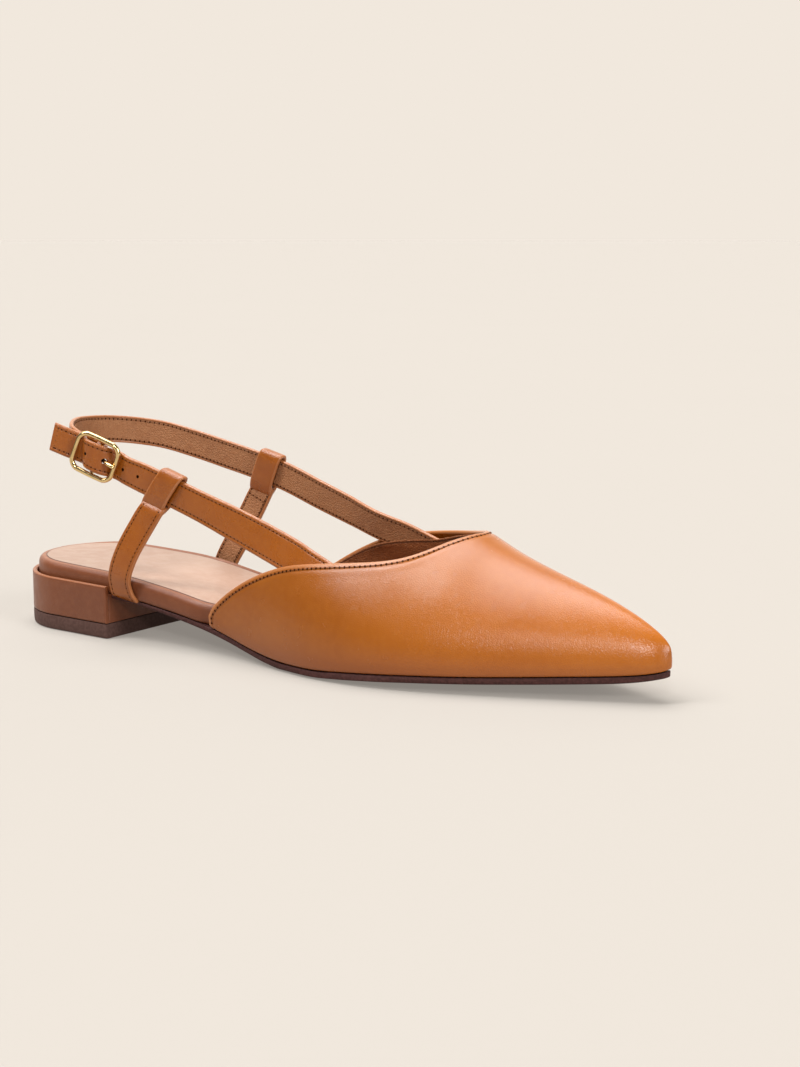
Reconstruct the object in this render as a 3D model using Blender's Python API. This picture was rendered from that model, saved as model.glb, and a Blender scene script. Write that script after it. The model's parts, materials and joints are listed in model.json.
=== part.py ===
"""Slingback ballet flat, right shoe, standing on its heel and forepart.

Lengths below are in millimetres and become metres where a mesh is made.  A station is a
distance along the shoe from the back of the heel.  World X runs to the toe, Y to the medial
side and Z up, and the origin is the centre of the heel tread on the floor.
"""

import math

import bmesh
import bpy
import numpy as np
from mathutils import Vector

MM = 0.001
GAP = 0.3                    # clearance between pieces that touch

LENGTH = 257.7               # heel back to toe tip
HEEL_RADIUS = 27.1           # round back of the heel, also the station of its centre
HEEL_BREAST = 53.0           # station of the heel's flat front
HEEL_HALF_WIDTH = 28.2       # at the breast
TOP_LIFT_HEIGHT = 5.2
HEEL_RIM_BACK = 19.6         # top of the rim around the heel seat
HEEL_RIM_FRONT = 18.9
HEEL_RIM_WALL = 1.7
POCKET_REACH = (0.0, 8.0, 9.0, 10.0)   # how far the seat's pocket runs out through the breast
SEAT_BACK = 17.5             # heel seat under the footbed, at the back
SEAT_SLOPE = -0.0375         # rise over run towards the toe
FOOTBED_RADIUS = 24.8        # round back of the footbed
FOOTBED_EDGE_ROUND = 2.6
FOOTBED_END = 253.0          # station where it stops inside the toe
OUTSOLE_INSET = 0.5          # from the feather edge
TREAD_FLAT = 0.6             # share of the outsole's half width that is flat
TREAD_EDGE_RISE = 0.5        # the outsole's bottom edge above its middle

UPPER_WALL = 1.6             # leather and lining together
WING_STATION = 98.5          # back end of the vamp's wings
THROAT_STATION = 188.0       # peak of the topline
TOE_Y = 3.7                  # the toe tip leans to the medial side

STRAP_THICKNESS = 1.6
STRAP_EDGE = 0.3             # broken edge along each strap
HEEL_STRAP_WIDTH = 10.0
LOOP_WALL = 1.4
LOOP_CLEARANCE = 0.5
LOOP_LENGTH = 10.0           # along its strap
LOOP_SQUARENESS = 0.45       # 1 would make the loop's section an ellipse
TAIL_SLANT = 0.24            # the sling strap's free end is cut this far off square

BUCKLE_CENTRE = (48.4, -26.6, 64.3)   # station, y, z
BUCKLE_TURN = 18.0           # degrees that the buckle's front turns inwards
BUCKLE_SLOPE = 22.0          # degrees that it slopes down to the front
BUCKLE_LENGTH = 16.2         # between the middles of the end bars
BUCKLE_WIDTH = 13.2          # between the middles of the side bars
BUCKLE_CORNER = 3.6
BUCKLE_WIRE = 2.0
BAR_WIRE = 1.3
BAR_DEPTH = 2.6              # centre bar behind the frame
FOLD_WALL = 1.1              # back strap's leather where it turns round the bar
PRONG_SLOT = 1.9
WEAVE_WIDTH = 10.0           # sling strap where it passes through the frame
FOLD_HALF_WIDTH = 4.7
BACK_DEPTH = 4.1             # back strap behind the frame, under the sling strap
PRONG_WIRE = 1.4
HOLE_START, HOLE_END = 0.5, 6.1   # the prong's hole in the sling strap, along from the bar

# The sole: half widths of the feather edge, bottom and top of the outsole.
SOLE = (
    ("station", "lateral", "medial", "bottom", "top"),
    (53.3, 25.4, 25.0, 13.6, 15.5),
    (66.0, 25.3, 25.0, 12.5, 14.2),
    (80.0, 25.0, 24.0, 10.2, 12.2),
    (95.0, 25.4, 23.2, 7.5, 9.8),
    (106.0, 26.3, 23.8, 5.1, 7.4),
    (116.0, 27.9, 25.8, 2.8, 5.0),
    (126.0, 29.9, 28.5, 0.8, 3.3),
    (134.0, 31.6, 31.0, 0.0, 2.6),
    (148.0, 34.0, 34.5, 0.0, 2.6),
    (158.0, 34.4, 36.2, 0.6, 3.4),
    (170.0, 33.4, 36.8, 1.4, 4.2),
    (185.0, 30.0, 35.0, 2.3, 5.0),
    (200.0, 24.8, 31.0, 3.0, 5.6),
    (215.0, 18.6, 25.6, 3.8, 6.4),
    (230.0, 12.0, 19.2, 4.7, 7.3),
    (243.0, 6.2, 13.2, 5.7, 8.1),
    (251.0, 2.6, 9.6, 6.8, 8.9),
    (256.0, -0.6, 6.9, 7.9, 9.8),
    (LENGTH, -TOE_Y, TOE_Y, 8.6, 10.4),
)
# The footbed's thickness.
FOOTBED = (
    ("station", "thickness"),
    (0.0, 7.0),
    (27.0, 7.4),
    (53.0, 7.1),
    (100.0, 6.9),
    (120.0, 5.2),
    (140.0, 3.8),
    (165.0, 3.2),
    (LENGTH, 3.0),
)
# The last: crest of the instep and toe, and the fullness of each side.
LAST = (
    ("station", "crest_y", "crest_z", "rise", "out", "shoulder"),
    (98.0, 6.0, 72.0, 0.32, 3.2, 0.62),
    (120.0, 7.6, 66.0, 0.34, 3.6, 0.70),
    (134.0, 8.5, 62.2, 0.36, 3.8, 0.75),
    (148.0, 8.5, 58.0, 0.37, 4.0, 0.74),
    (170.0, 7.4, 52.0, 0.39, 4.2, 0.61),
    (188.0, 6.2, 46.6, 0.42, 4.0, 0.46),
    (200.0, 5.8, 41.2, 0.44, 3.6, 0.46),
    (215.0, 5.4, 36.2, 0.46, 3.0, 0.46),
    (230.0, 5.0, 31.7, 0.48, 2.4, 0.46),
    (240.0, 4.6, 28.1, 0.50, 2.0, 0.48),
    (247.0, 4.3, 25.0, 0.50, 1.6, 0.50),
    (252.0, 4.0, 22.3, 0.50, 1.2, 0.50),
    (256.0, 3.8, 19.3, 0.50, 0.8, 0.50),
    (LENGTH, TOE_Y, 16.0, 0.50, 0.0, 0.50),
)
# The vamp's topline height on each side.
TOPLINE = (
    ("station", "lateral", "medial"),
    (98.5, 13.5, 13.5),
    (100.0, 16.2, 15.5),
    (103.0, 19.1, 18.2),
    (108.0, 23.1, 21.8),
    (116.0, 28.0, 27.4),
    (124.0, 31.6, 32.2),
    (134.0, 34.9, 37.0),
    (148.0, 36.9, 40.1),
    (160.0, 38.1, 41.8),
    (172.0, 39.4, 43.4),
    (178.0, 41.6, 44.4),
    (183.0, 44.8, 45.5),
    (188.0, 46.6, 46.6),
)
# Rows of points across the upper.  They close up at the top to follow the throat.
UPPER_ROWS = (
    ("feather", "top"),
    (98.5, 98.5),
    (99.4, 99.4),
    (100.6, 100.6),
    (102.4, 102.4),
    (105.0, 105.0),
    (108.5, 108.5),
    (113.0, 113.0),
    (119.0, 119.0),
    (126.0, 126.0),
    (134.0, 134.0),
    (142.0, 142.0),
    (150.0, 150.0),
    (157.5, 158.0),
    (164.5, 166.0),
    (171.0, 173.5),
    (177.0, 179.5),
    (182.5, 183.6),
    (187.5, 186.0),
    (192.0, 187.4),
    (196.0, THROAT_STATION),
    (200.0, 190.5),
    (204.5, 195.0),
    (209.5, 201.0),
    (215.0, 208.5),
    (220.5, 217.0),
)
# How the sling strap weaves through the buckle, outwards from the frame's middle plane.
WEAVE = (
    ("along", "outward"),
    (-17.3, -0.8),
    (-12.5, -1.6),
    (-8.4, -2.4),
    (-6.0, -2.1),
    (-3.1, 0.35),
    (0.0, 0.95),
    (3.1, 0.35),
    (6.0, -2.1),
    (8.4, -2.4),
    (12.0, -1.4),
)
# Where the back strap starts along the buckle, and its notch for the prong: along, outward.
BACK_START = (-0.6, -3.5, -6.5)
NOTCH = ((-2.7, 3.0), (-6.0, -1.0))
# The centre bar's end, from the frame's side bar: across, outward.
BAR_END = ((0.0, 0.0), (0.1, -1.1), (0.6, 0.2 - BAR_DEPTH), (1.4, -BAR_DEPTH), (3.0, -BAR_DEPTH))
# The prong: degrees round the bar where it hooks, then along and outward up to the frame.
HOOK_TURNS = (-20, -60, -100, -140, -180, -220, -255)
PRONG_RISE = ((1.9, -1.05), (3.6, -0.2), (5.6, 1.35), (8.0, 1.98), (8.9, 1.9))
# Sling strap from the buckle to its end inside the vamp; its tail end is straight.
SLING = (
    ("station", "y", "z", "width", "lean"),
    (65.3, -21.7, 57.9, 10.5, 0.0),
    (71.0, -21.4, 56.2, 10.5, 2.0),
    (92.6, -21.4, 49.7, 10.6, 4.0),
    (107.6, -21.6, 45.0, 11.5, 7.0),
    (120.6, -22.2, 40.9, 11.7, 11.0),
    (135.0, -23.6, 36.3, 11.7, 17.0),
    (148.0, -25.9, 31.6, 11.7, 24.0),
    (157.0, -27.1, 28.4, 11.7, 28.0),
)
# Back strap from the buckle round the heel to its end inside the vamp.
BACK_STRAP = (
    ("station", "y", "z", "width", "lean"),
    (33.4, -21.9, 68.8, 10.0, 0.0),
    (27.3, -16.2, 69.9, 10.0, 0.0),
    (22.6, -8.5, 70.4, 10.0, 0.0),
    (20.4, 0.5, 70.1, 10.0, 0.0),
    (21.3, 10.0, 69.5, 10.0, 0.0),
    (25.9, 18.6, 68.4, 10.1, 0.0),
    (34.0, 25.2, 66.7, 10.2, 0.0),
    (46.0, 28.4, 63.9, 10.3, 0.0),
    (60.0, 29.6, 60.8, 10.4, 0.0),
    (74.0, 30.3, 57.7, 10.5, 2.0),
    (88.0, 30.4, 54.2, 10.7, 3.0),
    (104.0, 29.5, 49.1, 10.8, 5.0),
    (119.0, 27.7, 44.9, 10.8, 8.0),
    (134.0, 24.8, 41.0, 10.6, 13.0),
    (148.0, 26.2, 37.5, 10.3, 18.0),
    (158.0, 27.3, 34.8, 10.3, 22.0),
)
# Heel straps from the footbed's edge up to their loops round the sling.
LATERAL_HEEL_STRAP = (
    ("station", "y", "z"),
    (59.6, -25.9, 13.6),
    (59.3, -26.5, 18.0),
    (59.8, -27.7, 23.0),
    (62.4, -27.3, 30.5),
    (68.0, -25.2, 41.0),
    (72.4, -23.6, 48.0),
)
MEDIAL_HEEL_STRAP = (
    ("station", "y", "z"),
    (61.4, 25.6, 14.0),
    (61.6, 26.3, 18.5),
    (62.8, 27.6, 23.0),
    (66.6, 28.8, 30.0),
    (71.8, 29.8, 39.5),
    (76.2, 30.3, 47.4),
)
# Where each loop sits on its strap, and how many degrees it leans, lateral then medial.
LOOPS = (
    ("station", "lean"),
    (76.6, 20.0),
    (80.2, 10.0),
)

COLOURS = {
    "tan_leather": ((0.58, 0.24, 0.07, 1.0), 0.42, 0.0),
    "footbed_leather": ((0.80, 0.60, 0.45, 1.0), 0.6, 0.0),
    "heel_leather": ((0.42, 0.18, 0.08, 1.0), 0.45, 0.0),
    "sole_rubber": ((0.06, 0.025, 0.02, 1.0), 0.7, 0.0),
    "top_lift_rubber": ((0.12, 0.07, 0.055, 1.0), 0.7, 0.0),
    "brass": ((0.78, 0.56, 0.22, 1.0), 0.25, 1.0),
}


# ---- curves ---------------------------------------------------------------------------------


def column(table, name):
    place = table[0].index(name)
    return np.array([row[place] for row in table[1:]], float)


def monotone(x, y, at):
    """Cubic through the points (x, y) that never overshoots between them."""
    step = np.diff(x)
    slope = np.diff(y) / step
    tangent = np.concatenate([slope[:1], np.zeros(len(x) - 2), slope[-1:]])
    for i in range(1, len(x) - 1):
        if slope[i - 1] * slope[i] > 0:
            before = step[i - 1] + 2 * step[i]
            after = 2 * step[i - 1] + step[i]
            tangent[i] = (before + after) / (before / slope[i - 1] + after / slope[i])
    k = np.clip(np.searchsorted(x, at) - 1, 0, len(x) - 2)
    t = (at - x[k]) / step[k]
    rise = y[k + 1] - y[k]
    start, end = tangent[k] * step[k], tangent[k + 1] * step[k]
    return y[k] + t * (start + t * (3 * rise - 2 * start - end + t * (start + end - 2 * rise)))


def read(table, name, station):
    """A column at any station.  Distance to the toe enters by its root, which rounds the toe."""
    station = np.asarray(station, float)
    near = -np.sqrt(LENGTH - column(table, "station"))
    return monotone(near, column(table, name), -np.sqrt(np.maximum(LENGTH - station, 0.0)))


def through(rows, pitch):
    """Points on a smooth curve through the rows (centripetal spline).

    Every row is a point, and each span between two rows is divided into steps of about one pitch.
    """
    rows = np.asarray(rows, float)
    ends = np.vstack([2 * rows[0] - rows[1], rows, 2 * rows[-1] - rows[-2]])
    step = np.linalg.norm(np.diff(ends[:, :3], axis=0), axis=1)
    knot = np.concatenate([[0], np.cumsum(step**0.5)])
    points = [rows[0]]
    for i in range(1, len(ends) - 2):
        p, t = ends[i - 1 : i + 3], knot[i - 1 : i + 3]
        for at in np.linspace(t[1], t[2], max(1, round(step[i] / pitch)) + 1)[1:]:
            a = [p[k] + (p[k + 1] - p[k]) * (at - t[k]) / (t[k + 1] - t[k]) for k in range(3)]
            b = [a[k] + (a[k + 1] - a[k]) * (at - t[k]) / (t[k + 2] - t[k]) for k in range(2)]
            points.append(b[0] + (b[1] - b[0]) * (at - t[1]) / (t[2] - t[1]))
    return np.array(points)


def unit(vectors):
    return vectors / np.linalg.norm(vectors, axis=-1, keepdims=True)


# ---- meshes ---------------------------------------------------------------------------------


def material(name):
    made = bpy.data.materials.new(name)
    made.use_nodes = True
    colour, roughness, metallic = COLOURS[name]
    shader = made.node_tree.nodes["Principled BSDF"]
    shader.inputs["Base Color"].default_value = colour
    shader.inputs["Roughness"].default_value = roughness
    shader.inputs["Metallic"].default_value = metallic
    made.diffuse_color = colour
    return made


def add_object(name, points, faces, material_name, smooth_angle=35.0):
    """An object from points in shoe millimetres, welded, with its faces turned outwards."""
    work = bmesh.new()
    moved = np.asarray(points, float) - np.array([HEEL_RADIUS, 0.0, 0.0])
    verts = [work.verts.new(Vector(point * MM)) for point in moved]
    for face in faces:
        work.faces.new([verts[k] for k in face])
    bmesh.ops.remove_doubles(work, verts=work.verts, dist=2e-7)
    bmesh.ops.recalc_face_normals(work, faces=work.faces)
    if work.calc_volume(signed=True) < 0:
        bmesh.ops.reverse_faces(work, faces=work.faces)
    mesh = bpy.data.meshes.new(name)
    work.to_mesh(mesh)
    work.free()
    mesh.shade_smooth()
    mesh.set_sharp_from_angle(angle=math.radians(smooth_angle))
    mesh.materials.append(material(material_name))
    made = bpy.data.objects.new(name, mesh)
    bpy.context.scene.collection.objects.link(made)
    return made


def combine(base, other, operation):
    """Joins other to base, or cuts it from base, and removes other."""
    modifier = base.modifiers.new(operation.title(), "BOOLEAN")
    modifier.operation = operation
    modifier.solver = "EXACT"
    modifier.object = other
    graph = bpy.context.evaluated_depsgraph_get()
    mesh = bpy.data.meshes.new_from_object(base.evaluated_get(graph))
    base.modifiers.clear()
    base.data = mesh
    bpy.data.objects.remove(other)
    return base


def tube_faces(rings, size):
    """Quads between each ring of points and the next."""
    faces = []
    for i in range(rings - 1):
        for j in range(size):
            k = (j + 1) % size
            faces.append((i * size + j, i * size + k, (i + 1) * size + k, (i + 1) * size + j))
    return faces


def swept(rings):
    """Points and faces of a solid through open-ended rings of equal count."""
    size = len(rings[0])
    faces = tube_faces(len(rings), size)
    faces.append(tuple(range(size)))
    faces.append(tuple((len(rings) - 1) * size + j for j in range(size)))
    return np.concatenate(rings), faces


def layered(layers):
    """Points and faces of a solid through closed loops, one above another.

    Each layer is a pair of rows of points, lateral and medial, that run from back to front.
    The bottom and top are closed by strips across the shoe.
    """
    loops = [np.concatenate([lateral, medial[::-1]]) for lateral, medial in layers]
    size = len(loops[0])
    rows = size // 2
    faces = tube_faces(len(loops), size)
    for base in (0, (len(loops) - 1) * size):
        for i in range(rows - 1):
            faces.append((base + i, base + i + 1, base + size - 2 - i, base + size - 1 - i))
    return np.concatenate(loops), faces


# ---- sole, heel and footbed -----------------------------------------------------------------


def feather(station, inset=0.0):
    """Lateral and medial points (station, y) of the feather edge, moved inwards by inset."""
    sides = []
    for name, sign in (("lateral", -1.0), ("medial", 1.0)):
        y = sign * read(SOLE, name, station)
        edge = np.stack([station, y], axis=1)
        along = np.gradient(edge, axis=0)
        along[-1] = (0.0, -sign)
        normal = unit(np.stack([along[:, 1], -along[:, 0]], axis=1)) * sign
        sides.append(edge + normal * np.reshape(inset, (-1, 1)))
    return sides


def toe_stations(start, rows, rounding=9):
    """Stations from start to the toe tip, closer together as the toe rounds."""
    straight = np.linspace(start, 236.0, rows)
    near = np.linspace(math.sqrt(LENGTH - 236.0), 0.0, rounding + 1)[1:]
    return np.concatenate([straight, LENGTH - near**2])


def with_height(edges, heights):
    return [np.column_stack([edge, height]) for edge, height in zip(edges, heights)]


def outsole_stations():
    waist = [HEEL_BREAST + GAP, 60.0, 68.0, 78.0, 88.0, 98.0, 107.0, 115.0, 122.0, 128.0]
    return np.concatenate([waist, [134.0, 141.0], toe_stations(148.0, 13)])


def make_outsole():
    station = outsole_stations()
    bottom = read(SOLE, "bottom", station)
    top = read(SOLE, "top", station)
    edges = feather(station, OUTSOLE_INSET)
    middle = (edges[0] + edges[1]) / 2
    tread = [middle + (edge - middle) * TREAD_FLAT for edge in edges]
    corner = [middle + (edge - middle) * 0.93 for edge in edges]
    layers = [
        with_height(tread, [bottom] * 2),
        with_height(corner, [bottom + TREAD_EDGE_RISE * 0.7] * 2),
        with_height(edges, [bottom + TREAD_EDGE_RISE + 0.3] * 2),
        with_height(edges, [top] * 2),
    ]
    add_object("outsole", *layered(layers), "sole_rubber")


def heel_edges(inset):
    """D-shaped outline of the heel: round back, nearly straight sides, flat front."""
    radius = HEEL_RADIUS - inset
    front = HEEL_BREAST - inset * 0.2
    turn = np.linspace(0.0, math.pi / 2, 13)
    back = np.stack([HEEL_RADIUS - radius * np.cos(turn), radius * np.sin(turn)], axis=1)
    corner = HEEL_HALF_WIDTH - inset
    side = [
        (HEEL_RADIUS + 13.0, (radius + corner) / 2),
        (front - 0.9, corner),
        (front - 0.25, corner - 0.25),
        (front, corner - 0.9),
    ]
    medial = np.concatenate([back, side])
    return [medial * np.array([1.0, -1.0]), medial]


def seat_height(station):
    """Top of the heel's seat or, in front of it, of the outsole."""
    flat = SEAT_BACK + SEAT_SLOPE * station
    return np.where(station < HEEL_BREAST, flat, read(SOLE, "top", station))


def make_heel():
    levels = [(0.0, 0.7), (0.7, 0.2), (TOP_LIFT_HEIGHT, 0.0)]
    layers = [
        with_height(heel_edges(inset), [np.full(17, height)] * 2) for height, inset in levels
    ]
    add_object("top_lift", *layered(layers), "top_lift_rubber")
    outline = heel_edges(0.0)
    rim = HEEL_RIM_BACK + (HEEL_RIM_FRONT - HEEL_RIM_BACK) * outline[0][:, 0] / HEEL_BREAST
    layers = [
        with_height(outline, [np.full(17, TOP_LIFT_HEIGHT + GAP)] * 2),
        with_height(outline, [rim] * 2),
    ]
    block = add_object("heel_block", *layered(layers), "heel_leather")
    pocket = heel_edges(HEEL_RIM_WALL)
    for side in pocket:
        side[-4:, 0] += POCKET_REACH
        side[-2:, 1] = side[-3, 1]
    floor = SEAT_BACK + SEAT_SLOPE * pocket[0][:, 0]
    layers = [
        with_height(pocket, [floor] * 2),
        with_height(pocket, [np.full(17, 30.0)] * 2),
    ]
    cutter = add_object("pocket", *layered(layers), "heel_leather")
    combine(block, cutter, "DIFFERENCE")


def footbed_edges(inset):
    """Footbed outline: round back, the feather edge in the waist, inside the upper in front.

    It stops just short of the toe tip, where its two sides would cross.
    """
    turn = np.linspace(0.0, 1.35, 9)
    radius = FOOTBED_RADIUS - inset
    back = np.stack([HEEL_RADIUS - radius * np.cos(turn), radius * np.sin(turn)], axis=1)
    seat = np.array([[at, FOOTBED_RADIUS - inset + 0.1] for at in (34.0, 44.0)])
    waist = [54.0, 64.0, 76.0, 88.0, 95.0, 97.0, 99.0, 101.0]
    station = np.concatenate([waist, toe_stations(109.0, 11, 8)])
    inside = np.clip((station - 95.0) / 4.0, 0.0, 1.0) * (UPPER_WALL + 0.3)
    sides = feather(station, 0.3 + inside + inset)
    kept = station < FOOTBED_END
    return [
        np.concatenate([back * (1.0, sign), seat * (1.0, sign), side[kept]])
        for side, sign in zip(sides, (-1.0, 1.0))
    ]


def make_footbed():
    layers = []
    inset_and_share = ((0.9, 0.0), (0.0, 0.18), (0.0, 0.62), (0.9, 0.88), (FOOTBED_EDGE_ROUND, 1.0))
    for inset, share in inset_and_share:
        edges = footbed_edges(inset)
        heights = []
        for edge in edges:
            bottom = seat_height(edge[:, 0]) + GAP
            heights.append(bottom + share * read(FOOTBED, "thickness", edge[:, 0]))
        layers.append(with_height(edges, heights))
    add_object("footbed", *layered(layers), "footbed_leather")


# ---- upper ----------------------------------------------------------------------------------


def section(station, side, share):
    """Points on the outside of the upper: share 0 at the feather edge, 1 on the crest."""
    station, share = np.broadcast_arrays(np.asarray(station, float), share)
    name = "lateral" if side < 0 else "medial"
    foot_y, foot_z = side * read(SOLE, name, station), read(SOLE, "top", station) + GAP
    crest_y, crest_z = read(LAST, "crest_y", station), read(LAST, "crest_z", station)
    low_y = foot_y + side * read(LAST, "out", station)
    low_z = foot_z + read(LAST, "rise", station) * (crest_z - foot_z)
    high_y = crest_y + read(LAST, "shoulder", station) * (foot_y - crest_y)
    rest = 1.0 - share
    weights = rest**3, 3 * rest**2 * share, 3 * rest * share**2, share**3
    y = sum(w * v for w, v in zip(weights, (foot_y, low_y, high_y, crest_y)))
    z = sum(w * v for w, v in zip(weights, (foot_z, low_z, crest_z, crest_z)))
    return np.stack([station, y, z], axis=-1)


def topline_share(station, side):
    """How far up the section the topline cuts it."""
    if station >= THROAT_STATION:
        return 1.0
    height = read(TOPLINE, "lateral" if side < 0 else "medial", station)
    shares = np.linspace(0.0, 1.0, 2001)
    return float(np.interp(height, section(station, side, shares)[:, 2], shares))


def upper_rows():
    """Stations of the upper's rows of points, at the feather edge and at the top."""
    to_tip = LENGTH - np.linspace(math.sqrt(LENGTH - 226.0), 0.0, 12) ** 2
    return (
        np.concatenate([column(UPPER_ROWS, "feather"), to_tip]),
        np.concatenate([column(UPPER_ROWS, "top"), to_tip]),
    )


def upper_grid(side, columns):
    shares = np.linspace(0.0, 1.0, columns + 1)
    rows = [
        section(low + (high - low) * shares**1.5, side, shares * topline_share(high, side))
        for low, high in zip(*upper_rows())
    ]
    return np.array(rows)


def inner_grid(outer, side):
    """The inside of the upper: the outside moved in by the wall."""
    along = np.gradient(outer, axis=0)
    up = np.gradient(outer, axis=1)
    normal = np.cross(along, up) * -side
    normal[-1] = (1.0, 0.0, 0.0)
    normal = unit(normal)
    normal[upper_rows()[1] >= THROAT_STATION, -1, 1] = 0.0
    normal[:, 0, 2] = 0.0
    inner = outer - UPPER_WALL * unit(normal)
    inner[0, :, 0] = outer[0, :, 0]
    return inner


def make_upper(columns=11):
    points, faces = [], []
    stations = upper_rows()[1]
    throat = int(np.argmin(abs(stations - THROAT_STATION)))
    last = len(stations) - 1
    outsides = [upper_grid(side, columns) for side in (-1.0, 1.0)]
    insides = [inner_grid(outer, side) for outer, side in zip(outsides, (-1.0, 1.0))]
    crest = (insides[0][throat:, -1] + insides[1][throat:, -1]) / 2
    for outer, inner in zip(outsides, insides):
        inner[throat:, -1] = crest
        start = sum(len(p) for p in points)
        points += [outer.reshape(-1, 3), inner.reshape(-1, 3)]
        width, skin = columns + 1, outer.shape[0] * (columns + 1)

        def at(i, j, layer):
            return start + layer * skin + i * width + j

        for i in range(last):
            for j in range(columns):
                for layer in (0, 1):
                    faces.append(
                        (at(i, j, layer), at(i + 1, j, layer), at(i + 1, j + 1, layer), at(i, j + 1, layer))
                    )
            faces.append((at(i, 0, 0), at(i, 0, 1), at(i + 1, 0, 1), at(i + 1, 0, 0)))
            if i < throat:
                faces.append(
                    (at(i, columns, 0), at(i + 1, columns, 0), at(i + 1, columns, 1), at(i, columns, 1))
                )
        for j in range(columns):
            faces.append((at(0, j, 0), at(0, j + 1, 0), at(0, j + 1, 1), at(0, j, 1)))
    add_object("upper", np.concatenate(points), faces, "tan_leather", 50.0)


# ---- straps ---------------------------------------------------------------------------------


def strap_frames(path, outward_sign, lean=None):
    """Unit vectors along, outwards and up across a strap that follows the path."""
    along = unit(np.gradient(path, axis=0))
    level = unit(np.cross(along, (0.0, 0.0, 1.0)) * outward_sign)
    up = unit(np.cross(level, along) * outward_sign)
    up *= np.sign(up[:, 2:3])
    if lean is not None:
        turn = np.radians(lean)[:, None]
        up, level = up * np.cos(turn) - level * np.sin(turn), level * np.cos(turn) + up * np.sin(turn)
    return along, level, up


def strap_rings(path, across, outward, width, thickness=STRAP_THICKNESS):
    """Rings of a flat strap with its long edges slightly broken."""
    rings = []
    for centre, u, n, w in zip(path, across, outward, width):
        a, b = w / 2, thickness / 2
        c, d = a - STRAP_EDGE, b - STRAP_EDGE
        corners = ((-c, -b), (c, -b), (a, -d), (a, d), (c, b), (-c, b), (-a, d), (-a, -d))
        rings.append(np.array([centre + u * p + n * q for p, q in corners]))
    return rings


def buckle_axes():
    turn, slope = math.radians(BUCKLE_TURN), math.radians(BUCKLE_SLOPE)
    along = np.array([
        math.cos(turn) * math.cos(slope), math.sin(turn) * math.cos(slope), -math.sin(slope)
    ])
    outward = np.array([math.sin(turn), -math.cos(turn), 0.0])
    return along, np.cross(outward, along), outward


def buckle_point(along, across, outward):
    t, w, n = buckle_axes()
    return np.array(BUCKLE_CENTRE) + along * t + across * w + outward * n


def rows_of(table):
    return [list(row) for row in table[1:]]


def sling_path():
    weave = [[*buckle_point(s, 0.0, n), WEAVE_WIDTH, 0.0] for s, n in WEAVE[1:]]
    return through(weave + rows_of(SLING), 2.4)


def back_path():
    bar = [[*buckle_point(s, 0.0, -BACK_DEPTH), 10.0, 0.0] for s in BACK_START]
    return through(bar + rows_of(BACK_STRAP), 3.6)


def make_sling_strap():
    path = sling_path()
    along, outward, up = strap_frames(path[:, :3], 1.0, path[:, 4])
    rings = strap_rings(path[:, :3], up, outward, path[:, 3])
    rings[0] -= along[0] * TAIL_SLANT * ((rings[0] - path[0, :3]) @ up[0])[:, None]
    strap = add_object("sling_strap", *swept(rings), "tan_leather")
    combine(strap, buckle_block("hole", (HOLE_START, HOLE_END), (-3.0, 3.0)), "DIFFERENCE")


def buckle_block(name, along, outward):
    """A block as wide as the prong's slot, for cutting the straps at the buckle."""
    ends = [
        np.array([
            buckle_point(s, across, h)
            for s, h in zip(along + along[::-1], (outward[0], outward[0], outward[1], outward[1]))
        ])
        for across in (-PRONG_SLOT / 2, PRONG_SLOT / 2)
    ]
    return add_object(name, *swept(ends), "tan_leather")


def fold_barrel(name, radius, start, end):
    """A cylinder on the centre bar's axis."""
    turns = np.linspace(0.0, 2 * math.pi, 16, endpoint=False)
    ends = [
        np.array([
            buckle_point(radius * math.cos(a), across, radius * math.sin(a) - BAR_DEPTH)
            for a in turns
        ])
        for across in (start, end)
    ]
    return add_object(name, *swept(ends), "tan_leather")


def make_back_strap():
    path = back_path()
    along, outward, up = strap_frames(path[:, :3], -1.0, path[:, 4])
    rings = strap_rings(path[:, :3], up, outward, path[:, 3])
    strap = add_object("back_strap", *swept(rings), "tan_leather")
    combine(strap, buckle_block("notch", *NOTCH), "DIFFERENCE")
    inner = BAR_WIRE / 2 + GAP
    slot = 0.6 * PRONG_SLOT
    for start, end in ((-FOLD_HALF_WIDTH, -slot), (slot, FOLD_HALF_WIDTH)):
        combine(strap, fold_barrel("fold", inner + FOLD_WALL, start, end), "UNION")
    combine(strap, fold_barrel("bore", inner, -FOLD_HALF_WIDTH - 1.8, FOLD_HALF_WIDTH + 1.8), "DIFFERENCE")


def loop_place(side):
    """Centre and axes of a heel strap's loop, and the slope of its lean."""
    path = sling_path() if side < 0 else back_path()
    station, lean = LOOPS[1] if side < 0 else LOOPS[2]
    own_side = path[:, 1] * side > HEEL_RADIUS / 2
    nearest = np.argmin(np.where(own_side, abs(path[:, 0] - station), LENGTH))
    along, outward, up = strap_frames(path[:, :3], 1.0 if side < 0 else -1.0, path[:, 4])
    frame = along[nearest], outward[nearest], up[nearest]
    centre = path[nearest, :3]
    return centre, frame, math.tan(math.radians(lean)), path[nearest, 3]


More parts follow.
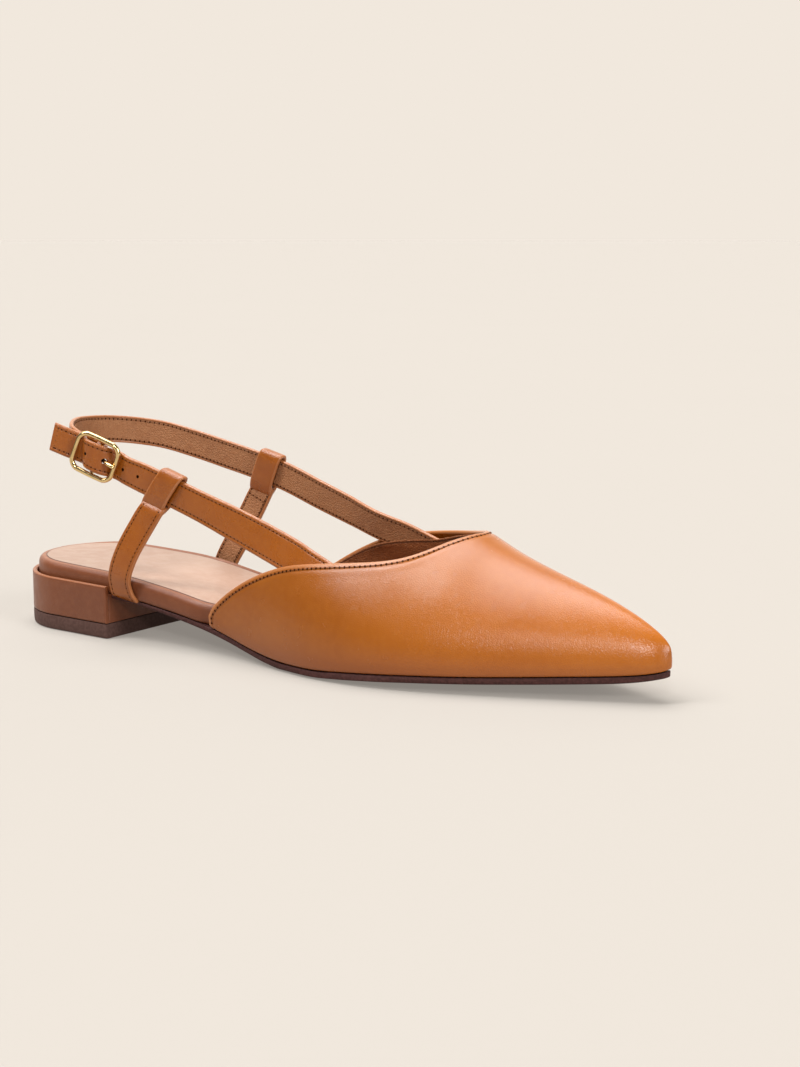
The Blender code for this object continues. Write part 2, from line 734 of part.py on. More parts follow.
def make_heel_strap(name, table, side):
    centre, (along, outward, up), lean, strap_width = loop_place(side)
    half_up = strap_width / 2 + LOOP_CLEARANCE
    half_out = STRAP_THICKNESS / 2 + LOOP_CLEARANCE
    turns = np.linspace(0.0, 2 * math.pi, 20, endpoint=False)

    def band(grow, reach):
        rings = []
        for end in (-reach, reach):
            ring = []
            for turn in turns:
                c, s = math.cos(turn), math.sin(turn)
                h = (half_up + grow) * math.copysign(abs(s) ** LOOP_SQUARENESS, s)
                q = (half_out + grow) * math.copysign(abs(c) ** LOOP_SQUARENESS, c)
                ring.append(centre + up * h + outward * q + along * (end + lean * h))
            rings.append(np.array(ring))
        return rings

    foot = centre - (up + along * lean) * (half_up + LOOP_WALL * 0.6)
    path = through(rows_of(table) + [list(foot)], 3.6)
    direction = unit(np.gradient(path, axis=0))
    across = unit(np.cross(direction, (0.0, 1.0, 0.0)))
    across *= np.sign(across[:, :1])
    face = unit(np.cross(across, direction))
    face *= np.sign(face[:, 1:2]) * side
    widths = [HEEL_STRAP_WIDTH] * len(path)
    strap = add_object(name, *swept(strap_rings(path, across, face, widths)), "tan_leather")
    outside = add_object("loop_outside", *swept(band(LOOP_WALL, LOOP_LENGTH / 2)), "tan_leather")
    combine(strap, outside, "UNION")
    inside = add_object("loop_inside", *swept(band(0.0, LOOP_LENGTH / 2 + 4.0)), "tan_leather")
    combine(strap, inside, "DIFFERENCE")


# ---- buckle ---------------------------------------------------------------------------------


def wire(path, axis, diameter, closed=False, sides=8):
    """Rings of a round wire along a path that lies in the plane across the axis."""
    along = np.gradient(path, axis=0)
    if closed:
        along = np.roll(path, -1, axis=0) - np.roll(path, 1, axis=0)
    along = unit(along)
    axis = np.asarray(axis, float)
    other = unit(np.cross(along, axis))
    turns = np.linspace(0.0, 2 * math.pi, sides, endpoint=False)
    radius = diameter / 2
    return [
        np.array([p + radius * (math.cos(a) * axis + math.sin(a) * o) for a in turns])
        for p, o in zip(path, other)
    ]


def make_buckle():
    t, w, n = buckle_axes()
    half_length, half_width = BUCKLE_LENGTH / 2, BUCKLE_WIDTH / 2
    path = []
    for quarter, (sx, sy) in enumerate(((1, 1), (-1, 1), (-1, -1), (1, -1))):
        for turn in np.linspace(0.0, math.pi / 2, 5):
            angle = turn + quarter * math.pi / 2
            s = sx * (half_length - BUCKLE_CORNER) + BUCKLE_CORNER * math.cos(angle)
            a = sy * (half_width - BUCKLE_CORNER) + BUCKLE_CORNER * math.sin(angle)
            path.append(buckle_point(s, a, 0.0))
    rings = wire(np.array(path), n, BUCKLE_WIRE, closed=True)
    rings.append(rings[0])
    frame = add_object("buckle_frame", np.concatenate(rings), tube_faces(len(rings), 8), "brass")
    bar_rows = [(a - half_width, d) for a, d in BAR_END] + [(0.0, -BAR_DEPTH)]
    bar_rows += [(-a, d) for a, d in bar_rows[-2::-1]]
    bar_path = through([list(buckle_point(0.0, a, d)) for a, d in bar_rows], 1.2)
    bar = add_object("bar", *swept(wire(bar_path, t, BAR_WIRE)), "brass")
    combine(frame, bar, "UNION")
    reach = BAR_WIRE / 2 + GAP + PRONG_WIRE / 2
    hook = [
        (reach * math.cos(math.radians(a)), reach * math.sin(math.radians(a)) - BAR_DEPTH)
        for a in HOOK_TURNS
    ]
    rise = hook + list(PRONG_RISE)
    prong_path = through([list(buckle_point(s, 0.0, d)) for s, d in rise], 0.7)
    add_object("buckle_prong", *swept(wire(prong_path, w, PRONG_WIRE)), "brass")


def main():
    for old in list(bpy.data.objects):
        bpy.data.objects.remove(old)
    make_heel()
    make_outsole()
    make_footbed()
    make_upper()
    make_sling_strap()
    make_back_strap()
    make_heel_strap("lateral_heel_strap", LATERAL_HEEL_STRAP, -1.0)
    make_heel_strap("medial_heel_strap", MEDIAL_HEEL_STRAP, 1.0)
    make_buckle()


main()
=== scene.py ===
import json
import math

import bmesh
import bpy
import numpy as np
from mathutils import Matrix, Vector
from mathutils.bvhtree import BVHTree

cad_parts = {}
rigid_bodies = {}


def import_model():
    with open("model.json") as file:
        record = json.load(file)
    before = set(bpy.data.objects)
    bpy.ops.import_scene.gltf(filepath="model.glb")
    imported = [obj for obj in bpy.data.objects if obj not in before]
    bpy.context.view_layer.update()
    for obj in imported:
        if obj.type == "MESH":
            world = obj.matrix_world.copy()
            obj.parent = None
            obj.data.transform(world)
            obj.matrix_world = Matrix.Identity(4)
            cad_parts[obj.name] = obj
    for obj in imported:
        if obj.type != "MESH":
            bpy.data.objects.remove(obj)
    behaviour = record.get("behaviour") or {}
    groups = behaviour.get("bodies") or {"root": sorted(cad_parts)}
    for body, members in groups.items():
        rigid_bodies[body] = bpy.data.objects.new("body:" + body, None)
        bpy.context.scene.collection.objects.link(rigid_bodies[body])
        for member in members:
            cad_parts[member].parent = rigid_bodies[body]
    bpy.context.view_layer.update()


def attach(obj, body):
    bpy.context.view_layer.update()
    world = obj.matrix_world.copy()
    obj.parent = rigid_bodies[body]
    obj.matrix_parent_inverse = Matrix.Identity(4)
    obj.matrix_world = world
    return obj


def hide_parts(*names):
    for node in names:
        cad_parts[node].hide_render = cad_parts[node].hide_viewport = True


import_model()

# Every length below is in millimetres of the shoe: station from the heel's back, y to the
# medial side, z up from the floor.
MM = 0.001
GAP = 0.3                       # between neighbouring pieces
LENGTH = 257.7
HEEL_RADIUS = 27.1
HEEL_BREAST = 53.0
HEEL_HALF_WIDTH = 28.2
TOP_LIFT_HEIGHT = 5.2
HEEL_RIM_BACK, HEEL_RIM_FRONT, HEEL_RIM_WALL = 19.6, 18.9, 1.7
SEAT_BACK, SEAT_SLOPE = 17.5, -0.0375
FOOTBED_RADIUS = 24.8
UPPER_WALL = 1.6
THROAT_STATION = 188.0
TOE_Y = 3.7
STRAP_THICKNESS = 1.6
LOOP_WALL, LOOP_CLEARANCE, LOOP_LENGTH, LOOP_SQUARENESS = 1.4, 0.5, 10.0, 0.58
TAIL_SLANT = 0.13               # of the sling strap's cut end
LOOP_SHIFT = 1.1                # of a loop, back along its strap
LOOP_FOOT = 2.7                 # how far a loop closes down over its stitched strap
BUCKLE_CENTRE = (48.4, -26.6, 64.3)
BUCKLE_TURN, BUCKLE_SLOPE = 18.0, 22.0
BUCKLE_LENGTH, BUCKLE_WIDTH, BUCKLE_CORNER, BUCKLE_BOW = 15.7, 13.0, 3.1, 0.22
BUCKLE_WIRE, BAR_WIRE, BAR_DEPTH, PRONG_WIRE = 1.8, 1.3, 2.6, 1.4
FOLD_WALL, FOLD_HALF_WIDTH, PRONG_SLOT = 1.1, 4.7, 1.9
WEAVE_WIDTH = 10.0
BACK_DEPTH = 4.1                # of the back strap's end, in from the buckle's plane
PUNCHED = (-3.0, 12.1, 19.6)     # holes along the sling strap from the buckle's centre
PRONG_HOLE = 4.0

SOLE = (
    ("station", "lateral", "medial", "bottom", "top"),
    (53.3, 25.4, 25, 13.6, 15.5),
    (66, 25.3, 25, 12.5, 14.2),
    (80, 25, 24, 10.2, 12.2),
    (95, 25.4, 23.2, 7.5, 9.8),
    (106, 26.3, 23.8, 5.1, 7.4),
    (116, 27.9, 25.8, 2.8, 5),
    (126, 29.9, 28.5, 0.8, 3.3),
    (134, 31.6, 31, 0, 2.6),
    (148, 34, 34.5, 0, 2.6),
    (158, 34.4, 36.2, 0.6, 3.4),
    (170, 33.4, 36.8, 1.4, 4.2),
    (185, 30, 35, 2.3, 5),
    (200, 24.8, 31, 3, 5.6),
    (215, 18.6, 25.6, 3.8, 6.4),
    (230, 12, 19.2, 4.7, 7.3),
    (243, 6.2, 13.2, 5.7, 8.1),
    (251, 2.6, 9.6, 6.8, 8.9),
    (256, -0.6, 6.9, 7.9, 9.8),
    (LENGTH, -TOE_Y, TOE_Y, 8.6, 10.4),
)
FOOTBED = (
    ("station", "thickness"),
    (0, 7),
    (27, 7.4),
    (53, 7.1),
    (100, 6.9),
    (120, 5.2),
    (140, 3.8),
    (165, 3.2),
    (LENGTH, 3),
)
LAST = (
    ("station", "crest_y", "crest_z", "rise", "out", "shoulder"),
    (98, 6, 72, 0.32, 3.2, 0.62),
    (120, 7.6, 66, 0.34, 3.6, 0.70),
    (134, 8.5, 62.2, 0.36, 3.8, 0.75),
    (148, 8.5, 58, 0.37, 4, 0.74),
    (170, 7.4, 52, 0.39, 4.2, 0.61),
    (188, 6.2, 46.6, 0.42, 4, 0.46),
    (200, 5.8, 41.2, 0.44, 3.6, 0.46),
    (215, 5.4, 36.2, 0.46, 3, 0.46),
    (230, 5, 31.7, 0.48, 2.4, 0.46),
    (240, 4.6, 28.1, 0.50, 2, 0.48),
    (247, 4.3, 25, 0.50, 1.6, 0.50),
    (252, 4, 22.3, 0.50, 1.2, 0.50),
    (256, 3.8, 19.3, 0.50, 0.8, 0.50),
    (LENGTH, TOE_Y, 16, 0.50, 0, 0.50),
)
TOPLINE = (
    ("station", "lateral", "medial"),
    (98.5, 13.5, 13.5),
    (100, 16.2, 15.5),
    (103, 19.1, 18.2),
    (108, 23.1, 21.8),
    (116, 28, 27.4),
    (124, 31.6, 32.2),
    (134, 34.9, 37),
    (148, 36.9, 40.1),
    (160, 38.1, 41.8),
    (172, 39.4, 43.4),
    (178, 41.6, 44.4),
    (183, 44.8, 45.5),
    (188, 46.6, 46.6),
)
UPPER_ROWS = (
    ("feather", "top"),
    *((at, at) for at in (98.5, 99.4, 100.6, 102.4, 105, 108.5, 113, 119, 126)),
    *((at, at) for at in (134, 142, 150)),
    (157.5, 158),
    (164.5, 166),
    (171, 173.5),
    (177, 179.5),
    (182.5, 183.6),
    (187.5, 186),
    (192, 187.4),
    (196, THROAT_STATION),
    (200, 190.5),
    (204.5, 195),
    (209.5, 201),
    (215, 208.5),
    (220.5, 217),
)
WEAVE = (
    ("along", "outward"),
    (-17.8, -0.8),
    (-12.5, -1.6),
    (-8.4, -2.4),
    (-6, -2.1),
    (-3.1, 0.35),
    (0, 0.95),
    (3.1, 0.35),
    (6, -2.1),
    (8.4, -2.4),
    (12, -1.4),
)
SLING = (
    ("station", "y", "z", "width", "lean"),
    (65.3, -21.7, 57.9, 10.5, 0),
    (71, -21.4, 56.2, 10.5, 2),
    (92.6, -21.4, 49.7, 10.6, 4),
    (107.6, -21.6, 45, 11.5, 7),
    (120.6, -22.2, 40.9, 11.7, 11),
    (135, -23.6, 36.3, 11.7, 17),
    (148, -25.9, 31.6, 11.7, 24),
    (157, -27.1, 28.4, 11.7, 28),
)
BACK_STRAP = (
    ("station", "y", "z", "width", "lean"),
    (33.4, -21.9, 68.8, 10, 0),
    (27.3, -16.2, 69.9, 10, 0),
    (22.6, -8.5, 70.4, 10, 0),
    (20.4, 0.5, 70.1, 10, 0),
    (21.3, 10, 69.5, 10, 0),
    (25.9, 18.6, 68.4, 10.1, 0),
    (34, 25.2, 66.7, 10.2, 0),
    (46, 28.4, 63.9, 10.3, 0),
    (60, 29.6, 60.8, 10.4, 0),
    (74, 30.3, 57.7, 10.5, 2),
    (88, 30.4, 54.2, 10.7, 3),
    (104, 29.5, 49.1, 10.8, 5),
    (119, 27.7, 44.9, 10.8, 8),
    (134, 24.8, 41, 10.6, 13),
    (148, 26.2, 37.5, 10.3, 18),
    (158, 27.3, 34.8, 10.3, 22),
)
LATERAL_HEEL_STRAP = (
    ("station", "y", "z"),
    (60.9, -22.8, 14.8),
    (60.5, -24.9, 15.2),
    (59.9, -26.2, 16.5),
    (59.4, -26.7, 18.6),
    (59.8, -27.7, 23),
    (62.4, -27.3, 30.5),
    (68, -25.2, 41),
    (72.4, -23.6, 48),
)
MEDIAL_HEEL_STRAP = (
    ("station", "y", "z"),
    (62.6, 22.6, 15),
    (62.3, 24.7, 15.4),
    (61.9, 26, 16.7),
    (61.6, 26.5, 18.9),
    (62.8, 27.6, 23),
    (66.6, 28.8, 30),
    (71.8, 29.8, 39.5),
    (76.2, 30.3, 47.4),
)
LOOPS = (("station", "lean"), (76.6, 20), (80.2, 10))

# ---- curves


def column(table, name):
    place = table[0].index(name)
    return np.array([row[place] for row in table[1:]], float)


def monotone(x, y, at):
    """Cubic through the points (x, y) that never overshoots between them."""
    step = np.diff(x)
    slope = np.diff(y) / step
    tangent = np.concatenate([slope[:1], np.zeros(len(x) - 2), slope[-1:]])
    for i in range(1, len(x) - 1):
        if slope[i - 1] * slope[i] > 0:
            before = step[i - 1] + 2 * step[i]
            after = 2 * step[i - 1] + step[i]
            tangent[i] = (before + after) / (before / slope[i - 1] + after / slope[i])
    k = np.clip(np.searchsorted(x, at) - 1, 0, len(x) - 2)
    t = (at - x[k]) / step[k]
    rise = y[k + 1] - y[k]
    start, end = tangent[k] * step[k], tangent[k + 1] * step[k]
    return y[k] + t * (start + t * (3 * rise - 2 * start - end + t * (start + end - 2 * rise)))


def read(table, name, station):
    """A column at any station.  Distance to the toe enters by its root, which rounds the toe."""
    near = -np.sqrt(LENGTH - column(table, "station"))
    return monotone(near, column(table, name), -np.sqrt(np.maximum(LENGTH - station, 0.0)))


def through(rows, pitch):
    """Points on a smooth curve through the rows (centripetal spline)."""
    rows = np.array(rows, float)
    ends = np.vstack([2 * rows[0] - rows[1], rows, 2 * rows[-1] - rows[-2]])
    step = np.linalg.norm(np.diff(ends[:, :3], axis=0), axis=1)
    knot = np.concatenate([[0], np.cumsum(step**0.5)])
    points = [rows[0]]
    for i in range(1, len(ends) - 2):
        p, t = ends[i - 1 : i + 3], knot[i - 1 : i + 3]
        for at in np.linspace(t[1], t[2], max(1, round(step[i] / pitch)) + 1)[1:]:
            a = [p[k] + (p[k + 1] - p[k]) * (at - t[k]) / (t[k + 1] - t[k]) for k in range(3)]
            b = [a[k] + (a[k + 1] - a[k]) * (at - t[k]) / (t[k + 2] - t[k]) for k in range(2)]
            points.append(b[0] + (b[1] - b[0]) * (at - t[1]) / (t[2] - t[1]))
    return np.array(points)


def unit(vectors):
    return vectors / np.maximum(np.linalg.norm(vectors, axis=-1, keepdims=True), 1e-12)


def smoothstep(value):
    t = np.clip(value, 0.0, 1.0)
    return t * t * (3 - 2 * t)


def bell(value, middle, width):
    return np.exp(-(((value - middle) / width) ** 2))


def full_turn(count):
    """Angles evenly round a circle."""
    return np.linspace(0.0, 2 * math.pi, count, endpoint=False)


def soften(values, sigma):
    """Rows smoothed by a bell curve, with both ends kept."""
    reach = int(3 * sigma)
    weights = np.exp(-0.5 * (np.arange(-reach, reach + 1) / sigma) ** 2)
    before = 2 * values[:1] - values[reach:0:-1]
    after = 2 * values[-1:] - values[-2 : -reach - 2 : -1]
    wide = np.concatenate([before, values, after])
    out = sum(w * wide[k : k + len(values)] for k, w in enumerate(weights / weights.sum()))
    out[0], out[-1] = values[0], values[-1]
    return out


def lengths(path):
    """Distance along the path at each of its rows."""
    steps = np.linalg.norm(np.diff(path[:, :3], axis=0), axis=1)
    return np.concatenate([[0.0], np.cumsum(steps)])


def at_lengths(path, wanted):
    """Rows of path at these distances along it."""
    run = lengths(path)
    return np.stack([np.interp(wanted, run, values) for values in path.T], axis=1)


# ---- meshes


def to_world(points):
    return (np.asarray(points, float) - (HEEL_RADIUS, 0.0, 0.0)) * MM


def add_object(name, data):
    made = bpy.data.objects.new(name, data)
    bpy.context.scene.collection.objects.link(made)
    return made


def add_mesh(name, shape, finish, node, marks=None, sharp=None):
    """A piece from (points, faces) in shoe millimetres.  marks are values per point."""
    points, faces = shape
    mesh = bpy.data.meshes.new(name)
    mesh.from_pydata(to_world(points).tolist(), [], faces)
    for key, values in (marks or {}).items():
        layer = mesh.attributes.new(key, "FLOAT", "POINT")
        layer.data.foreach_set("value", np.asarray(values, np.float32))
    work = bmesh.new()
    work.from_mesh(mesh)
    bmesh.ops.remove_doubles(work, verts=work.verts, dist=1e-6)
    bmesh.ops.recalc_face_normals(work, faces=work.faces)
    work.to_mesh(mesh)
    work.free()
    mesh.shade_smooth()
    if sharp is not None:
        mesh.set_sharp_from_angle(angle=math.radians(sharp))
    mesh.materials.append(finish)
    piece = add_object(name, mesh)
    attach(piece, "root")
    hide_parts(node)
    return piece


def quads(rows):
    """Faces between rows of point numbers, each row and the next."""
    ids = np.array(rows)
    corners = ids[:-1, :-1], ids[:-1, 1:], ids[1:, 1:], ids[1:, :-1]
    return [tuple(face) for face in np.stack(corners, axis=-1).reshape(-1, 4).tolist()]


def numbered(start, rows, size):
    """Rows of point numbers from start on."""
    return start + np.arange(rows * size).reshape(rows, size)


def tube_faces(rings, size, closed=False):
    """Faces of a tube through rings of so many points, joined end to end if closed."""
    ids = numbered(0, rings, size)
    ids = np.concatenate([ids, ids[:1]]) if closed else ids
    return quads(np.concatenate([ids, ids[:, :1]], axis=1))


def swept(rings):
    """Points and faces of a solid through rings of equal count, with a fan at each end."""
    rings = np.asarray(rings)
    count, size = rings.shape[:2]
    points = np.vstack([rings.reshape(-1, 3), rings[0].mean(axis=0), rings[-1].mean(axis=0)])
    faces = tube_faces(count, size)
    for base, middle in ((0, count * size), ((count - 1) * size, count * size + 1)):
        faces += [(base + j, base + (j + 1) % size, middle) for j in range(size)]
    return points, faces


def layered(layers):
    """Solid through closed loops one above another, each a lateral and a medial row of points."""
    loops = [np.concatenate([lateral, medial[::-1]]) for lateral, medial in layers]
    size = len(loops[0])
    faces = tube_faces(len(loops), size)
    for base in (0, (len(loops) - 1) * size):
        last = base + size - 1
        faces += [(base + i, base + i + 1, last - 1 - i, last - i) for i in range(size // 2 - 1)]
    return np.concatenate(loops), faces


def merged(parts):
    """Several (points, faces) as one."""
    points, faces, start = [], [], 0
    for own_points, own_faces in parts:
        points.append(own_points)
        faces += [tuple(start + k for k in face) for face in own_faces]
        start += len(own_points)
    return np.concatenate(points), faces


def grains(places, along, normal, size, rings=5):
    """Little rounded grains, one at each place: size is their length, width and height."""
    t = np.linspace(-1.0, 1.0, rings)
    girth = np.sqrt(np.maximum(1.0 - t**4, 0.03))
    c, s = np.cos(full_turn(6)), np.sin(full_turn(6))
    length, width, height = (measure / 2 for measure in size)
    parts = []
    for place, a, side, n in zip(places, along, np.cross(along, normal), normal):
        ring = np.outer(c, side) * width + np.outer(s, n) * height
        parts.append(swept([place + a * x * length + g * ring for x, g in zip(t, girth)]))
    return merged(parts)


# ---- materials

STUDIO_LIGHT = 1.9             # what an evenly lit surface gives back, over its own colour
GROOVE_SHADE = 52, 28, 18         # painted shade in the grooves along the linings' edges, as display values


def srgb(red, green, blue):
    """Linear colour from 0-255 display values."""
    values = [c / 255.0 for c in (red, green, blue)]
    linear = [c / 12.92 if c <= 0.04045 else ((c + 0.055) / 1.055) ** 2.4 for c in values]
    return (*linear, 1.0)


def tinted(colour, share):
    return (*(c * share for c in colour[:3]), 1.0)


def seen(display):
    """The surface colour that shows as these display values in the studio's light."""
    return tinted(srgb(*display), 1 / STUDIO_LIGHT)


class Look:
    """The nodes of a material or world, made one by one."""

    def __init__(self, owner, coordinates="Object"):
        owner.use_nodes = True
        self.owner, self.nodes, self.links = owner, owner.node_tree.nodes, owner.node_tree.links
        self.where = self.node("TexCoord")[coordinates]

    def put(self, node, inputs):
        """Sets a node's inputs to values or to other nodes' outputs."""
        for key, value in inputs.items():
            if isinstance(value, bpy.types.NodeSocket):
                self.links.new(value, node.inputs[key])
            else:
                node.inputs[key].default_value = value

    def node(self, kind, inputs=None, **settings):
        """The outputs of a new shader node."""
        made = self.nodes.new("ShaderNode" + kind)
        for key, value in settings.items():
            setattr(made, key, value)
        self.put(made, inputs or {})
        return made.outputs

    def surface(self, inputs):
        self.put(self.nodes["Principled BSDF"], inputs)
        return self.owner

    def math(self, operation, *values):
        return self.node("Math", dict(enumerate(values)), operation=operation)[0]

    def noise(self, per_mm, detail=3.0, rough=0.5, turned=None, scale=None):
        """Noise with about per_mm features to the millimetre, or longer ones along one axis."""
        where = self.where
        if turned is not None:
            inputs = {"Vector": where, "Rotation": turned, "Scale": scale}
            where = self.node("Mapping", inputs)[0]
        inputs = {"Vector": where, "Scale": per_mm / MM, "Detail": detail, "Roughness": rough}
        return self.node("TexNoise", inputs)["Fac"]

    def cells(self, per_mm, **settings):
        inputs = {"Vector": self.where, "Scale": per_mm / MM}
        return self.node("TexVoronoi", inputs, **settings)["Distance"]

    def ramp(self, value, low, high, start=0.0, end=1.0):
        keys = "Value", "From Min", "From Max", "To Min", "To Max"
        inputs = dict(zip(keys, (value, low, high, start, end)))
        return self.node("MapRange", inputs, interpolation_type="SMOOTHSTEP")["Result"]

    def blend(self, share, first, second, mode="MIX"):
        inputs = {0: share, 6: first, 7: second}
        return self.node("Mix", inputs, data_type="RGBA", blend_type=mode)[2]

    def mark(self, name):
        return self.node("Attribute", attribute_name=name)["Fac"]

    def bump(self, height, depth, strength=1.0):
        inputs = {"Strength": strength, "Distance": depth * MM, "Height": height}
        return self.node("Bump", inputs)["Normal"]


def leather(
    name, base, deep, pale, edge, grain, depth, rough=(0.36, 0.46), level=0.5, low_band=None,
    tones=None, pucker=None,
):
    """Leather: colour clouds, a cell grain in the bump, its edge colour where rim is marked.

    low_band is a colour and the heights it fades between, a painted reflection of the floor near
    the sole.  tones are two stations and how bright it is at each, painted light on the tan calf.
    pucker is per_mm, rotation and scale of its folds, and their share; their troughs are painted
    shade.
    """
    look = Look(bpy.data.materials.new(name))
    colour = look.blend(look.ramp(look.noise(0.035), 0.3, 0.7), seen(base), seen(deep))
    mottle = look.ramp(look.noise(0.45), 0.35, 0.75)
    colour = look.blend(look.math("MULTIPLY", mottle, 0.35), colour, seen(pale))
    # A colour band near the floor: a painted reflection of the floor.
    if low_band is not None:
        shown, low, high = low_band
        height = look.node("SeparateXYZ", {"Vector": look.where})["Z"]
        colour = look.blend(look.ramp(height, low * MM, high * MM, 1.0, 0.0), colour, seen(shown))
    # A brightness ramp along the length; on the tan calf it is painted light, brighter towards the
    # toe.
    if tones is not None:
        start, end = ((station - HEEL_RADIUS) * MM for station in tones[:2])
        share = look.ramp(look.node("SeparateXYZ", {"Vector": look.where})["X"], start, end)
        tone = look.blend(share, *(tinted((1.0, 1.0, 1.0), bright) for bright in tones[2:]))
        colour = look.blend(1.0, colour, tone, "MULTIPLY")
    # Where rim is marked, the edge colour: a painted highlight on the rolled topline, the heel
    # wall's round top and the footbed wrap's top; on straps and loops, their edges' own colour.
    colour = look.blend(look.ramp(look.mark("rim"), 0.15, 0.8), colour, seen(edge))
    # Painted shade along the grooves where the linings meet the leather.
    colour = look.blend(look.mark("line"), colour, srgb(*GROOVE_SHADE))
    height = look.ramp(look.cells(grain, feature="DISTANCE_TO_EDGE"), 0.0, 0.28)
    height = look.math("MULTIPLY_ADD", look.noise(grain * 3.2, 2.0), 0.5, height)
    if pucker is not None:
        per_mm, turned, scale, share = pucker
        folds = look.noise(per_mm, 3.0, 0.6, turned, scale)
        height = look.math("MULTIPLY_ADD", folds, share, height)
        # The folds' troughs are painted darker: painted shade in the creases.
        dark = look.math("MULTIPLY", look.ramp(folds, 0.32, 0.55, 1.0, 0.0), 0.35)
        colour = look.blend(dark, colour, seen(deep))
    return look.surface({
        "Base Color": colour,
        "Normal": look.bump(height, depth),
        "Roughness": look.ramp(look.noise(0.2), 0.3, 0.7, *rough),
        "Specular IOR Level": level,
    })


def plain(name, base, dark, per_mm, rough=0.6, depth=0.03, specks=None, level=0.2):
    """A moulded or dyed stuff: a small mottle in its colour and bump, with specks if asked."""
    look = Look(bpy.data.materials.new(name))
    mottle = look.noise(per_mm)
    colour = look.blend(look.ramp(mottle, 0.35, 0.65), seen(base), seen(dark))
    if specks is not None:
        share = look.ramp(look.cells(0.9), 0.06, 0.14, 0.6, 0.0)
        colour = look.blend(share, colour, seen(specks))
    return look.surface({
        "Base Color": colour,
        "Normal": look.bump(mottle, depth),
        "Roughness": rough,
        "Specular IOR Level": level,
    })


def metal(name, colour, deep):
    look = Look(bpy.data.materials.new(name))
    clouds = look.noise(0.35)
    return look.surface({
        "Base Color": look.blend(look.ramp(clouds, 0.3, 0.7), colour, deep),
        "Normal": look.bump(clouds, 0.01, 0.6),
        "Roughness": look.ramp(look.noise(1.1, 2.0), 0.3, 0.7, 0.16, 0.27),
        "Metallic": 1.0,
    })


# Tan calf: the colour band near the floor is a painted reflection of the floor, and the brightness
# rising towards the toe is painted light.
TAN = leather(
    "tan_calf", (198, 111, 30), (189, 103, 26), (206, 120, 40), (216, 136, 76), 1.7, 0.019,
    rough=(0.24, 0.275), level=0.45, low_band=((188, 102, 40), 3.0, 14.0),
    tones=(120.0, 248.0, 0.9, 1.22),
)
STRAP_TAN = leather(
    "tan_calf_strap", (194, 105, 26), (180, 95, 22), (204, 117, 36), (212, 132, 76), 1.7, 0.025,
    rough=(0.25, 0.33),
)
HEEL_TAN = leather(
    "tan_calf_heel", (156, 88, 52), (144, 78, 44), (168, 100, 62), (208, 128, 74), 1.7, 0.025,
    level=0.4,
)
LINING = leather(
    "taupe_lining", (214, 148, 100), (184, 121, 79), (228, 166, 118), (206, 142, 96), 1.0, 0.15,
    rough=(0.55, 0.68), level=0.25, pucker=(0.9, (0.0, 0.0, 0.6), (1.6, 1.6, 0.35), 1.2),
)
VAMP_LINING = leather(
    "vamp_lining", (184, 106, 56), (150, 82, 38), (200, 124, 72), (190, 118, 72), 1.0, 0.2,
    rough=(0.55, 0.68), level=0.22, pucker=(0.8, (0.0, 0.7, 0.2), (0.3, 1.8, 1.8), 1.4),
)
SOCK = leather(
    "sock_leather", (217, 179, 156), (209, 169, 146), (225, 189, 167), (104, 62, 46), 1.5, 0.02,
    rough=(0.4, 0.5), level=0.35, tones=(20.0, 100.0, 0.86, 1.14),
)
THREAD = plain("tan_thread", (170, 104, 56), (140, 82, 44), 6.0)
# Needle holes are dark grains on the leather: painted shade where the holes are.
HOLE_SHADE = plain("needle_hole_shade", (88, 44, 22), (64, 30, 14), 4.0, 0.9, 0.02, level=0.0)
OUTSOLE = plain("sole_rubber", (98, 58, 54), (78, 44, 40), 1.2, 0.6, 0.05, (150, 112, 98))
TOP_LIFT = plain("top_lift_rubber", (118, 86, 78), (104, 74, 66), 1.0, 0.65, 0.04)
BRASS = metal("brass", (0.76, 0.56, 0.27, 1.0), (0.66, 0.47, 0.21, 1.0))

# ---- stitching

STITCH_PITCH = 1.75            # from one needle hole to the next
THREAD_SHARE, THREAD_WIDTH, THREAD_HEIGHT = 0.5, 0.46, 0.34   # the share is of the pitch
HOLE_HEIGHT = 0.2


def stitch_row(path, normal, hole):
    """Threads and needle holes along path: (threads, holes), each points and faces."""
    rows = np.hstack([path, normal])
    total = lengths(path)[-1]
    count = max(2, int(round(total / STITCH_PITCH)))
    step = total / count
    middles, ends = (np.arange(count) + 0.5) * step, np.arange(count + 1) * step
    place, after = at_lengths(rows, middles), at_lengths(rows, middles + 0.2)
    heading = unit(after[:, :3] - place[:, :3])
    size = step * THREAD_SHARE, THREAD_WIDTH, THREAD_HEIGHT
    threads = grains(place[:, :3], heading, unit(place[:, 3:]), size)
    place, after = at_lengths(rows, ends), at_lengths(rows, ends * 0.999 + 0.05)
    heading = unit(after[:, :3] - place[:, :3] + 1e-9)
    heading[-1] = heading[-2]
    holes = grains(place[:, :3], heading, unit(place[:, 3:]), (hole, hole, HOLE_HEIGHT), 4)
    return threads, holes


def add_stitches(name, rows, node, hole=0.74):
    threads, holes = zip(*(stitch_row(*row, hole) for row in rows))
    add_mesh(name + "_thread", merged(threads), THREAD, node)
    add_mesh(name + "_holes", merged(holes), HOLE_SHADE, node)


# ---- upper

